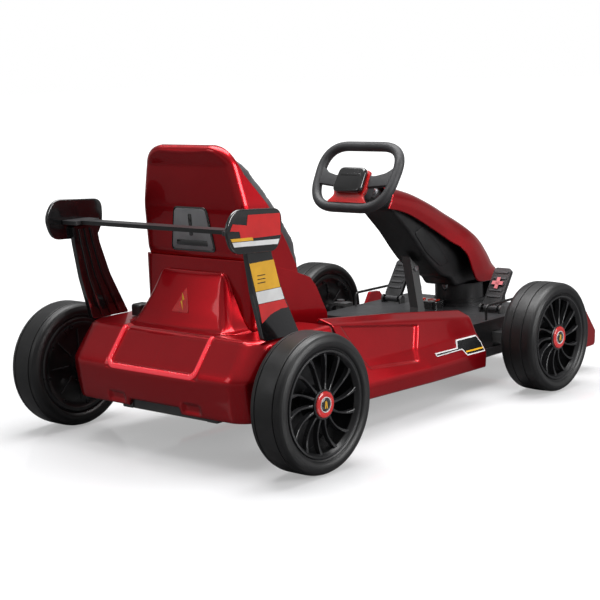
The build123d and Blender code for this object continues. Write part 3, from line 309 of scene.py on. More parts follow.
def mesh_piece(name, verts, faces):
    """Object from vertices in the row frame and faces."""
    mesh = bpy.data.meshes.new(name)
    mesh.from_pydata([tuple(v) for v in verts], [], faces)
    piece = bpy.data.objects.new(name, mesh)
    bpy.context.scene.collection.objects.link(piece)
    return piece


def face_out(piece):
    """Turns a closed piece's normals outwards."""
    work = bmesh.new()
    work.from_mesh(piece.data)
    bmesh.ops.recalc_face_normals(work, faces=work.faces)
    work.to_mesh(piece.data)
    work.free()
    return piece


def prism(name, near, far):
    """Closed solid between two outlines with the same number of corners, in millimetres."""
    count = len(near)
    faces = [list(range(count)), list(range(2 * count - 1, count - 1, -1))]
    faces += [[i, i + count, (i + 1) % count + count, (i + 1) % count] for i in range(count)]
    return face_out(mesh_piece(name, put(near + far), faces))


def grid_piece(name, grid, flip=False, wrap_rows=False, wrap_columns=False):
    """Quad mesh over a grid of points in millimetres."""
    rows, columns = grid.shape[:2]
    index = np.arange(rows * columns).reshape(rows, columns)
    if wrap_rows:
        index = np.vstack([index, index[:1]])
    if wrap_columns:
        index = np.hstack([index, index[:, :1]])
    a, b = index[:-1, :-1].ravel(), index[:-1, 1:].ravel()
    c, d = index[1:, 1:].ravel(), index[1:, :-1].ravel()
    faces = np.stack([a, d, c, b] if flip else [a, b, c, d], axis=1).tolist()
    return mesh_piece(name, put(grid).reshape(-1, 3), faces)


def thicken(piece, millimetres):
    """Gives a sheet its wall, inwards of the surface."""
    modifier = piece.modifiers.new("wall", "SOLIDIFY")
    modifier.thickness = millimetres / 1000
    modifier.offset = -1
    return piece


def round_edges(piece, millimetres, segments=3, angle=30):
    """Bevel on the sharp edges."""
    modifier = piece.modifiers.new("edges", "BEVEL")
    modifier.width = millimetres / 1000
    modifier.segments = segments
    modifier.limit_method = "ANGLE"
    modifier.angle_limit = math.radians(angle)
    modifier.harden_normals = False
    return piece


def slab(name, outline, y_low, y_high, edge=2.0, segments=3):
    """Plate with an outline in the X-Z plane, between two values of y."""
    piece = prism(name, [(x, y_low, z) for x, z in outline], [(x, y_high, z) for x, z in outline])
    return round_edges(piece, edge, segments)


def rounded(outline, radius, steps=5):
    """Outline in the X-Z plane with its corners rounded."""
    outline = [Vector(p) for p in outline]
    out = []
    for i, corner in enumerate(outline):
        back = outline[i - 1] - corner
        ahead = outline[(i + 1) % len(outline)] - corner
        reach = min(radius, back.length * 0.45, ahead.length * 0.45)
        start = corner + back.normalized() * reach
        end = corner + ahead.normalized() * reach
        for k in range(steps + 1):
            t = k / steps
            out.append(tuple((1 - t) ** 2 * start + 2 * t * (1 - t) * corner + t * t * end))
    return out


def lathe(name, profile, x, y, z, side, steps=144, closed=True):
    """Turned piece about a line along Y. The profile holds (outboard, radius) in millimetres."""
    profile = np.asarray(profile, float)
    angle = np.linspace(0, 2 * math.pi, steps, endpoint=False)
    grid = np.zeros((len(profile), steps, 3))
    grid[..., 0] = x + profile[:, 1:2] * np.cos(angle)
    grid[..., 1] = side * (y + profile[:, 0:1])
    grid[..., 2] = z + profile[:, 1:2] * np.sin(angle)
    piece = grid_piece(name, grid, wrap_rows=closed, wrap_columns=True)
    return face_out(piece)


def join(name, pieces):
    """One object from several."""
    depsgraph = bpy.context.evaluated_depsgraph_get()
    work = bmesh.new()
    for piece in pieces:
        solid = bpy.data.meshes.new_from_object(piece.evaluated_get(depsgraph))
        work.from_mesh(solid)
        bpy.data.meshes.remove(solid)
    mesh = bpy.data.meshes.new(name)
    work.to_mesh(mesh)
    work.free()
    for piece in pieces:
        bpy.data.objects.remove(piece)
    joined = bpy.data.objects.new(name, mesh)
    bpy.context.scene.collection.objects.link(joined)
    return joined


# ---------------------------------------------------------------- rear fairing
def u_ring(x_front, w_front, w_rear, x_rear, radius, bow=0.0, counts=(36, 16, 110)):
    """Open loop in plan: down the left side, round the tail and back along the right side."""
    side_n, corner_n, rear_n = counts
    left = np.linspace((x_front, w_front), (x_rear + radius, w_rear), side_n, endpoint=False)
    turn = np.linspace(0, math.pi / 2, corner_n, endpoint=False)
    corner = np.stack([x_rear + radius - radius * np.sin(turn), w_rear - radius + radius * np.cos(turn)], axis=1)
    across = np.linspace(w_rear - radius, 0, rear_n // 2 + 1)
    rear = np.stack([np.full_like(across, x_rear), across], axis=1)
    rear[:, 0] -= bow * (1 - (across / max(w_rear, 1)) ** 2)
    corner[:, 0] -= bow * (1 - (corner[:, 1] / max(w_rear, 1)) ** 2)
    half = np.concatenate([left, corner, rear])
    other = half[-2::-1] * (1, -1)
    return np.concatenate([half, other])


def ring_stack(rings, rows):
    """Grid of points through loops given as (z, u_ring arguments)."""
    loops = []
    for z, *arguments in rings:
        loop = u_ring(*arguments)
        loops.append(np.column_stack([loop, np.full(len(loop), float(z))]))
    return spline(np.array(loops), rows)


def normals_of(grid):
    """Unit normals of a grid of points."""
    along = np.gradient(grid, axis=0)
    across = np.gradient(grid, axis=1)
    normal = np.cross(along, across)
    return normal / np.maximum(np.linalg.norm(normal, axis=2, keepdims=True), 1e-9)


def window(value, low, high, blend):
    """1 between low and high, falling to 0 over blend outside them."""
    return smooth_step((value - low) / blend + 0.5) * smooth_step((high - value) / blend + 0.5)


def build_fairing():
    """Tail skin with its recessed light panel, deck, hump and lower scoops."""
    end = 172.0
    shell = ring_stack(
        [
            (92, end, 244, 243, -66, 44, 2),
            (89.5, end, 249, 248, -71, 46, 3),
            (94, end, 252, 251, -75, 47, 4),
            (120, end, 254, 253, -80, 48, 4),
            (150, end, 255, 255, -84, 49, 3),
            (163, end, 255, 255, -86, 50, 1),
            (171, end, 255, 255, -85, 50, 0),
            (182, end, 255, 254, -79, 50, 0),
            (205, end, 254, 252, -61, 48, 0),
            (224, end, 252, 249, -46, 46, 0),
            (234, end, 250, 246, -38, 44, 0),
            (239, end, 246, 240, -31, 42, 0),
            (240.8, end, 238, 232, -24, 38, 0),
            (241, end, 210, 205, -16, 30, 0),
            (241, end, 178, 174, -8, 26, 0),
            (240.5, end, 161, 160, 2, 20, 0),
            (236, end, 157.5, 157.5, 8, 18, 0),
            (226, end, 157, 157, 9, 18, 0),
        ],
        150,
    )
    x, y, z = shell[..., 0].copy(), shell[..., 1].copy(), shell[..., 2].copy()
    normal = normals_of(shell)
    outward = np.sign((normal * (shell - np.array([40, 0, 170]))).sum(axis=2, keepdims=True))
    normal = normal * outward
    behind = x < 10
    recess = window(np.abs(y), -1, 118, 3) * window(z, 176, 250, 3) * behind
    gutter = (window(np.abs(y), 118, 127, 2.5) * window(z, 164, 250, 2.5)
              + window(np.abs(y), -1, 127, 2.5) * window(z, 164, 173, 2.5))
    scoop = window(np.abs(y), 84, 128, 10) * window(z, 96, 114, 9) * behind
    lift = 13 * smooth_step((74 - np.abs(y)) / 5) * smooth_step((108 - z) / 16) * (x < -50)
    shell -= normal * (3.2 * recess + 1.5 * np.clip(gutter, 0, 1) * behind + 5 * scoop)[..., None]
    shell[..., 2] += lift
    deck = grid_piece("deck", shell)
    thicken(deck, 3.0)

    front = 47.5
    hump = ring_stack(
        [
            (238, front, 153, 150, -15, 22, 3),
            (241.5, front, 149, 146, -11, 22, 3),
            (246, front, 142, 139, -6, 22, 4),
            (256, front, 134, 131, 0, 22, 5),
            (275, front, 124, 120, 10, 20, 5),
            (300, front, 112, 108, 21, 18, 4),
            (325, front, 101, 98, 32, 14, 3),
            (340, front, 94, 91, 38, 9, 2),
            (346.5, front, 89, 86, 41, 6, 1),
            (349.5, front, 82, 80, 43, 4, 0),
            (350, front, 70, 68, 45, 2, 0),
        ],
        90,
    )
    cover = grid_piece("hump", hump)
    thicken(cover, 3.0)
    return finish_piece(join("tail_fairing", [deck, cover]), "painted_red", "chassis", ["rear_fairing"])


build_fairing()


# ---------------------------------------------------------------- tail light
def build_tail_light():
    """U-shaped light strip lying in the gutter round the recessed panel."""
    path = resample([(-86, 122.5, 240), (-86, 122.5, 178), (-86, 113, 168.5), (-86, -113, 168.5),
                     (-86, -122.5, 178), (-86, -122.5, 240)], 220)
    path = soften(path, 12)
    z_of = [150, 163, 171, 182, 205, 224, 234, 239]
    x_of = [-87, -87, -85, -79, -61, -46, -38, -31]
    section = [(-1, -5.2), (2.4, -4.4), (3.2, -2), (3.2, 2), (2.4, 4.4), (-1, 5.2)]
    grid = []
    ahead = np.gradient(path, axis=0)
    for point, direction in zip(path, ahead):
        direction = direction / np.linalg.norm(direction)
        inward = np.array([0, -direction[2], direction[1]])
        row = []
        for out, across in section:
            spot = point + inward * across
            surface = np.interp(spot[2], z_of, x_of)
            slope = 0.75 if spot[2] > 172 else 0.0
            row.append((surface + 0.8 - out * 0.75, spot[1], min(spot[2] + out * slope * 0.8, 241)))
        grid.append(row)
    strip = grid_piece("light_strip", np.array(grid), wrap_columns=True)
    return finish_piece(face_out(strip), "red_lens", "chassis", ["tail_light"])


build_tail_light()


# ---------------------------------------------------------------- side pods
def build_pod(side, name):
    """Side pod with a folded top, a recessed side panel, a skirt and a wheel-arch end."""
    rows, columns = 150, 130
    grid = np.zeros((rows, columns, 3))
    stations = np.array([166.0, 420.0, 649.0])
    shape = {
        "top": [253, 226, 197], "crease": [243, 212, 184], "belly": [262, 262, 260],
        "belly_z": [160, 150, 150], "skirt": [275, 286, 286], "low": [78, 76, 74],
    }
    for i, u in enumerate(np.linspace(0, 1, rows)):
        guess = 174 + u * (649 - 174)
        at = {}
        for key, values in shape.items():
            at[key] = np.interp(guess, stations, values)
        line = [(206, at["top"] - 9), (210, at["top"] - 1.5), (214, at["top"] - 1), (243, at["crease"] + 0.5),
                (246, at["crease"] - 3), (at["belly"], at["belly_z"]), (at["skirt"], 112), (at["skirt"] + 1, 104),
                (at["skirt"] - 1, at["low"] + 2), (at["skirt"] - 5, at["low"]), (at["skirt"] - 14, at["low"] + 2)]
        section = soften(resample(line, columns), 5)
        start = np.interp(section[:, 1], [60, 110, 160, 205, 240, 260], [262, 232, 208, 191, 178, 174])
        grid[i, :, 0] = start + u * (649 - start)
        grid[i, :, 1] = section[:, 0]
        grid[i, :, 2] = section[:, 1]
    x, y, z = grid[..., 0], grid[..., 1], grid[..., 2]
    panel = np.ones_like(x)
    corners = [(206, 233), (452, 196), (418, 128), (268, 140)]
    for (x0, z0), (x1, z1) in zip(corners, corners[1:] + corners[:1]):
        length = math.hypot(x1 - x0, z1 - z0)
        distance = ((x1 - x0) * (z - z0) - (z1 - z0) * (x - x0)) / length
        panel *= smooth_step(-distance / 5 + 0.5)
    grid[..., 1] -= 6.5 * panel * (y > 240)
    grid[..., 1] *= side
    pod = grid_piece(name, grid, flip=side > 0)
    thicken(pod, 3.0)
    return finish_piece(pod, "painted_red", "chassis", [name.replace("pod_skin", "side_pod")])


build_pod(1, "pod_skin_left")
build_pod(-1, "pod_skin_right")


# ---------------------------------------------------------------- nose hood
def build_hood():
    """Hood over the column: crowned top, rolled shoulders and a drooped nose."""
    pairs = [
        ((644, 466), (608, 419), 58), ((690, 455), (646, 411), 59), ((735, 441), (684, 398), 60),
        ((800, 414), (730, 376), 61), ((854, 387), (788, 345), 63), ((900, 364), (830, 320), 68),
        ((938, 341), (862, 303), 74), ((970, 317), (884, 279), 79), ((996, 291), (900, 240), 82),
        ((1014, 266), (922, 214), 82), ((1026, 243), (976, 209), 80), ((1033, 222), (1016, 204), 76),
        ((1036, 206), (1030, 201), 70),
    ]
    loops = []
    for (top_x, top_z), (low_x, low_z), half in pairs:
        top = np.array([top_x, 0, top_z], float)
        low = np.array([low_x, 0, low_z], float)
        line = []
        crown = ((1.0, 0.0), (1.0, 0.34), (0.95, 0.60), (0.84, 0.78), (0.62, 0.91), (0.32, 0.98))
        for across, share in crown + ((0.0, 1.0),) + tuple((-a, b) for a, b in crown[::-1]):
            point = low + (top - low) * share
            line.append((point[0], half * across, point[2]))
        loops.append(soften(resample(line, 91), 6))
    hood = grid_piece("hood_skin", spline(np.array(loops), 120))
    thicken(hood, 3.5)
    return finish_piece(hood, "painted_red", "chassis", ["nose_hood"])


build_hood()


# ---------------------------------------------------------------- column cowl and brackets
COWL = [(632, 414), (700, 352), (742, 305), (768, 279), (820, 238), (859, 226), (876, 205), (1018, 205), (1025, 215),
        (1008, 248), (976, 290), (918, 336), (845, 372), (735, 424), (651, 450)]
cowl = slab("cowl_body", rounded(COWL, 9), -47, 47, 7, 4)
plates = []
for side in (1, -1):
    low, high = sorted((side * 45.5, side * 48.6))
    plates.append(slab("cheek",
        rounded([(716, 352), (760, 300), (812, 262), (848, 266), (800, 322), (748, 366)], 10), low, high, 1.2))
finish_piece(join("cowl_with_cheeks", [cowl] + plates), "black_plastic", "chassis", ["column_cowl"])
finish_piece(
    slab("nose_block",
        rounded([(1023, 98), (1056, 98), (1073, 113), (1073, 170), (1038, 204), (1024, 204)], 8), -59, 59, 4),
    "black_plastic", "chassis", ["nose_bracket"])


# ---------------------------------------------------------------- seat
def build_seat_back():
    """Back shell: a rounded-top rear face rolled round into two wedge sides."""
    half, top, radius = 143.0, 600.0, 52.0
    outline = [(half, 196), (half, 480)]
    outline += [(half - 18 - radius * (1 - math.cos(t)), top - radius + radius * math.sin(t))
                for t in np.linspace(0.1, math.pi / 2, 12)]
    left = soften(resample(outline, 90), 10)
    path = np.vstack([left, [(0, top)], left[::-1] * (-1, 1)])
    path = resample(path, 260)
    grid = []
    for y, z in path:
        centre_z = min(max(z, 200), 520)
        centre = np.array([0.0, centre_z])
        edge = np.array([y, z])
        inward = centre - edge
        reach = np.linalg.norm(inward)
        inward = inward / max(reach, 1e-6)
        def rear(height):
            return np.interp(height, [196, 376, 390, 470, 560, 592, 600], [56, 56, 51, 46, 39, 31, 30])
        front = np.interp(z, [196, 330, 352, 400, 471, 543, 575, 600], [199, 199, 194, 168, 125, 69, 56, 50])
        back = rear(z)
        roll = 17.0
        row = []
        for x in np.linspace(front, back + roll, 24):
            row.append((x, y, z))
        for t in np.linspace(0, math.pi / 2, 10)[1:]:
            spot = edge + inward * roll * (1 - math.cos(t))
            row.append((rear(spot[1]) + roll * (1 - math.sin(t)), spot[0], spot[1]))
        for share in np.linspace(0, 1, 16)[1:]:
            spot = edge + inward * (roll + (reach - roll) * share)
            row.append((rear(spot[1]) - 1.5 * share, spot[0], spot[1]))
        grid.append(row)
    back = grid_piece("seat_back_skin", np.array(grid))
    work = bmesh.new()
    work.from_mesh(back.data)
    bmesh.ops.remove_doubles(work, verts=work.verts, dist=0.0002)
    work.to_mesh(back.data)
    work.free()
    thicken(back, 9)
    round_edges(back, 2.5, 3, 50)
    return finish_piece(back, "painted_red", "seat", ["seat_back_shell"])


def build_seat_shell():
    """Lower bucket whose rim sweeps down from the back to the front edge."""
    base = u_ring(278, 149, 149, 50, 22, 2, (90, 16, 90))
    rows = 70
    rim = np.interp(base[:, 0], [48, 58, 82, 126, 174, 228, 247, 262, 278],
        [376, 377, 371, 357, 343, 323, 301, 272, 243])
    grid = np.zeros((rows, len(base), 3))
    for i, u in enumerate(np.linspace(0, 1, rows)):
        grid[i, :, 0] = base[:, 0]
        tuck = 3 * (1 - u) ** 2
        grid[i, :, 1] = base[:, 1] * (1 - tuck / 137)
        grid[i, :, 2] = 190.5 + u * (rim - 190.5)
    shell = grid_piece("seat_bucket", grid)
    thicken(shell, 5.5)
    round_edges(shell, 2.2, 3, 50)
    floor = slab("seat_floor",
        rounded([(54, 191), (274, 191), (278, 240), (272, 240), (266, 197), (54, 197)], 2), -143, 143, 1)
    return finish_piece(join("seat_lower", [shell, floor]), "painted_red", "seat", ["seat_shell"])


build_seat_back()
build_seat_shell()


def puff(piece, limit, pressure):
    """Fills a cushion by cloth simulation and keeps every point within limit of its start."""
    remesh = piece.modifiers.new("voxels", "REMESH")
    remesh.mode = "VOXEL"
    remesh.voxel_size = 0.006
    depsgraph = bpy.context.evaluated_depsgraph_get()
    piece.data = bpy.data.meshes.new_from_object(piece.evaluated_get(depsgraph))
    piece.modifiers.clear()
    start = np.array([v.co for v in piece.data.vertices])
    cloth = piece.modifiers.new("cloth", "CLOTH")
    cloth.settings.quality = 5
    cloth.settings.mass = 0.15
    cloth.settings.use_pressure = True
    cloth.settings.uniform_pressure_force = pressure
    cloth.settings.effector_weights.gravity = 0
    cloth.settings.tension_stiffness = 12
    cloth.point_cache.frame_start = 1
    cloth.point_cache.frame_end = 20
    scene = bpy.context.scene
    for number in range(1, 21):
        scene.frame_set(number)
    depsgraph = bpy.context.evaluated_depsgraph_get()
    puffed = piece.evaluated_get(depsgraph).to_mesh()
    moved = np.array([v.co for v in puffed.vertices]) - start
    far = np.linalg.norm(moved, axis=1, keepdims=True)
    moved *= np.minimum(1, limit / np.maximum(far, 1e-9))
    piece.modifiers.clear()
    scene.frame_set(1)
    piece.data.vertices.foreach_set("co", (start + moved).ravel())
    piece.data.update()


def pad_outline(z):
    """Half-width of the back cushion at a height."""
    half = np.interp(z, [241, 480, 588], [128, 128, 110])
    rise = max(z - 548, 0)
    if rise:
        half += math.sqrt(max(36**2 - min(rise, 35.9) ** 2, 0)) - 36
    return half


def build_back_cushion():
    """Back cushion with raised bolsters down its sides."""
    grid = []
    for z in np.linspace(244, 580, 60):
        rear = np.interp(z, [241, 470, 560, 582], [70, 65, 60, 58])
        middle = np.interp(z, [241, 300, 380, 470, 545, 582], [126, 120, 108, 91, 80, 70])
        edge = np.interp(z, [241, 300, 345, 401, 500, 566, 582], [150, 210, 216, 204, 142, 92, 72])
        half = pad_outline(z)
        row = [(rear, -half), (rear, half)]
        line = []
        for share in np.linspace(1, -1, 41):
            lift = smooth_step((abs(share) - 0.68) / 0.16)
            line.append((middle + (edge - middle) * lift, half * share))
        loop = resample([(rear, -half), (rear, half)] + line + [(rear, -half)], 140)[:-1]
        grid.append([(x, y, z) for x, y in loop])
    grid = np.array(grid)
    body = grid_piece("back_pad", grid, wrap_columns=True)
    work = bmesh.new()
    work.from_mesh(body.data)
    bmesh.ops.holes_fill(work, edges=[e for e in work.edges if e.is_boundary], sides=0)
    bmesh.ops.recalc_face_normals(work, faces=work.faces)
    work.to_mesh(body.data)
    work.free()
    puff(body, 0.006, 3.0)
    body.modifiers.new("smooth", "SUBSURF").render_levels = 1
    finish_piece(body, "seat_foam", "seat", ["seat_back_cushion"])


def build_base_cushion():
    """Seat cushion, filled until it crowns."""
    outline = rounded([(74, -120), (260, -120), (260, 120), (74, 120)], 26, 8)
    count = len(outline)
    verts = [(x, y, 201) for x, y in outline] + [(x, y, 228) for x, y in outline]
    faces = [list(range(count)), list(range(2 * count - 1, count - 1, -1))]
    faces += [[i, i + count, (i + 1) % count + count, (i + 1) % count] for i in range(count)]
    pad = face_out(mesh_piece("base_pad", put(verts), faces))
    puff(pad, 0.011, 4.0)
    pad.modifiers.new("smooth", "SUBSURF").render_levels = 1
    finish_piece(pad, "seat_foam", "seat", ["seat_base_cushion"])


build_back_cushion()
build_base_cushion()


# ---------------------------------------------------------------- fins, winglets, wing bar
def flat_mark(name, outline, y, side, slot, body="chassis", thickness=0.5):
    """Thin printed mark on a face parallel to X-Z."""
    low, high = sorted((side * y, side * (y + thickness)))
    mark = slab(name, outline, low, high, 0.1, 1)
    return finish_piece(mark, slot, body, smooth=False)


FIN = [(-20, 241.3), (79, 241.3), (34, 330), (10, 400), (4, 438), (-60, 438), (-56, 400), (-44, 330)]
fin_pieces = []
for side in (1, -1):
    low, high = sorted((side * 236.5, side * 247.6))
    fin_pieces.append(slab("fin", rounded(FIN, 5), low, high, 2.2, 4))
    for shift in (0.26, 0.5, 0.74):
        spine = [(-20 + 99 * shift, 246), (-44 + 78 * shift, 330), (-56 + 66 * shift, 400), (-60 + 62 * shift, 432)]
        ridge = [(x - 3, z) for x, z in spine] + [(x + 3, z) for x, z in spine[::-1]]
        low, high = sorted((side * 234, side * 237.5))
        fin_pieces.append(slab("ridge", rounded(ridge, 3), low, high, 1.2, 2))
finish_piece(join("fin_pair", fin_pieces), "gloss_black", "chassis", ["fins"])
for side in (1, -1):
    flat_mark("fin_yellow", [(-39, 338), (29, 338), (13, 392), (-53, 392)], 247.7, side, "yellow_mark")
    flat_mark("fin_white", [(-33, 314), (39, 314), (30, 337), (-38.7, 337)], 247.7, side, "white_mark")
    flat_mark("fin_red", [(-25, 276), (0, 290), (30, 297), (48, 296), (40, 313), (-32.7, 313)], 247.7, side, "red_mark")
    for k, height in enumerate((352, 359, 366)):
        flat_mark("fin_dash", [(-33, height), (-12, height), (-12, height + 1.8), (-33, height + 1.8)],
            248.1, side, "gloss_black")

WINGLET = [(-104, 414), (16, 408), (33, 440), (33, 487), (-96, 496), (-120, 460)]
winglet_pieces = []
for side in (1, -1):
    low, high = sorted((side * 248.2, side * 255.5))
    winglet_pieces.append(slab("winglet", rounded(WINGLET, 22, 8), low, high, 3, 4))
finish_piece(join("winglet_pair", winglet_pieces), "gloss_black", "chassis", ["winglets"])
for side in (1, -1):
    flat_mark("winglet_red",
        [(-108, 458), (-84, 455), (-80, 440), (27, 437), (27, 478), (-60, 483), (-64, 464), (-100, 470)], 255.6, side, "red_mark")
    flat_mark("winglet_yellow", [(-108, 444), (-50, 441), (-48, 435), (-104, 438)], 255.9, side, "yellow_mark")
    flat_mark("winglet_white", [(-104, 437), (23, 430), (18, 421), (-99, 428)], 255.6, side, "white_mark")

# ---------------------------------------------------------------- side pod and hump markings
STRIPES = (
    ("stripe_edge", "white_mark", 0.0,
     [(478, 122), (557, 121), (566, 136), (638, 135), (646, 119), (646, 100), (580, 101), (571, 115), (480, 115)]),
    ("stripe_body", "gloss_black", 0.4,
     [(480.5, 120), (558, 119), (567, 133.5), (637, 132.5), (643.5, 118), (643.5, 102.5), (582, 103.5),
      (572.5, 117), (482, 117)]),
    ("stripe_line", "yellow_mark", 0.8, [(579, 110.5), (643, 109.5), (643, 106.5), (581, 107.5)]),
)
STRIPE_RISE = 12


def on_pod(x, z, side, lift):
    """Point on the lower flank of a side pod, lifted off its skin."""
    z = z + STRIPE_RISE
    surface = np.interp(z, [112, 150, 205], [285.5, 264.5, 256])
    return x, side * (surface + lift), z


for side in (1, -1):
    for name, slot, depth, outline in STRIPES:
        outer = [on_pod(x, z, side, 0.6 + depth) for x, z in outline]
        inner = [on_pod(x, z, side, -1.5) for x, z in outline]
        finish_piece(prism(name, outer, inner), slot, "chassis", smooth=False)


def hump_mark(name, outline, out, slot):
    """Thin mark lying on the sloping rear face of the hump, its outline given as (left, height)."""
    def at(left, height, lift):
        face = np.interp(height, [256, 275, 300, 325, 340], [-5, 5, 17, 29, 36])
        return (face - lift * 0.9, left, height + lift * 0.4)

    mark = prism(name, [at(a, b, out) for a, b in outline], [at(a, b, -1.5) for a, b in outline])
    finish_piece(mark, slot, "chassis", smooth=False)


hump_mark("warning_triangle", rounded([(-24, 272), (24, 272), (0, 320)], 5, 4), 0.9, "red_mark")
hump_mark("warning_flash", [(-7, 276), (6, 292), (0, 294), (8, 308), (-3, 296), (2, 293)], 1.3, "yellow_mark")

# ---------------------------------------------------------------- pedal mark
LEAN = math.radians(35)
PEDAL_HINGE = (WHEELBASE + 66, 160)
PEDAL_Y = 147
MARK_ALONG = 62
for wide, tall in ((15, 4.5), (4.5, 15)):
    verts = []
    for depth in (10.4, 11.6):
        for across, along in ((-wide, -tall), (wide, -tall), (wide, tall), (-wide, tall)):
            run = MARK_ALONG + along
            verts.append((PEDAL_HINGE[0] + run * math.sin(LEAN) - depth * math.cos(LEAN), across - PEDAL_Y,
                          PEDAL_HINGE[1] + run * math.cos(LEAN) + depth * math.sin(LEAN)))
    faces = [(0, 1, 2, 3), (7, 6, 5, 4), (0, 4, 5, 1), (1, 5, 6, 2), (2, 6, 7, 3), (3, 7, 4, 0)]
    finish_piece(face_out(mesh_piece("pedal_mark", put(verts), faces)), "pink_mark", "accelerator", smooth=False)


# ---------------------------------------------------------------- wheels
SPOKES = 14
BACK_RIBS = 8
RIM_SCREWS = 8


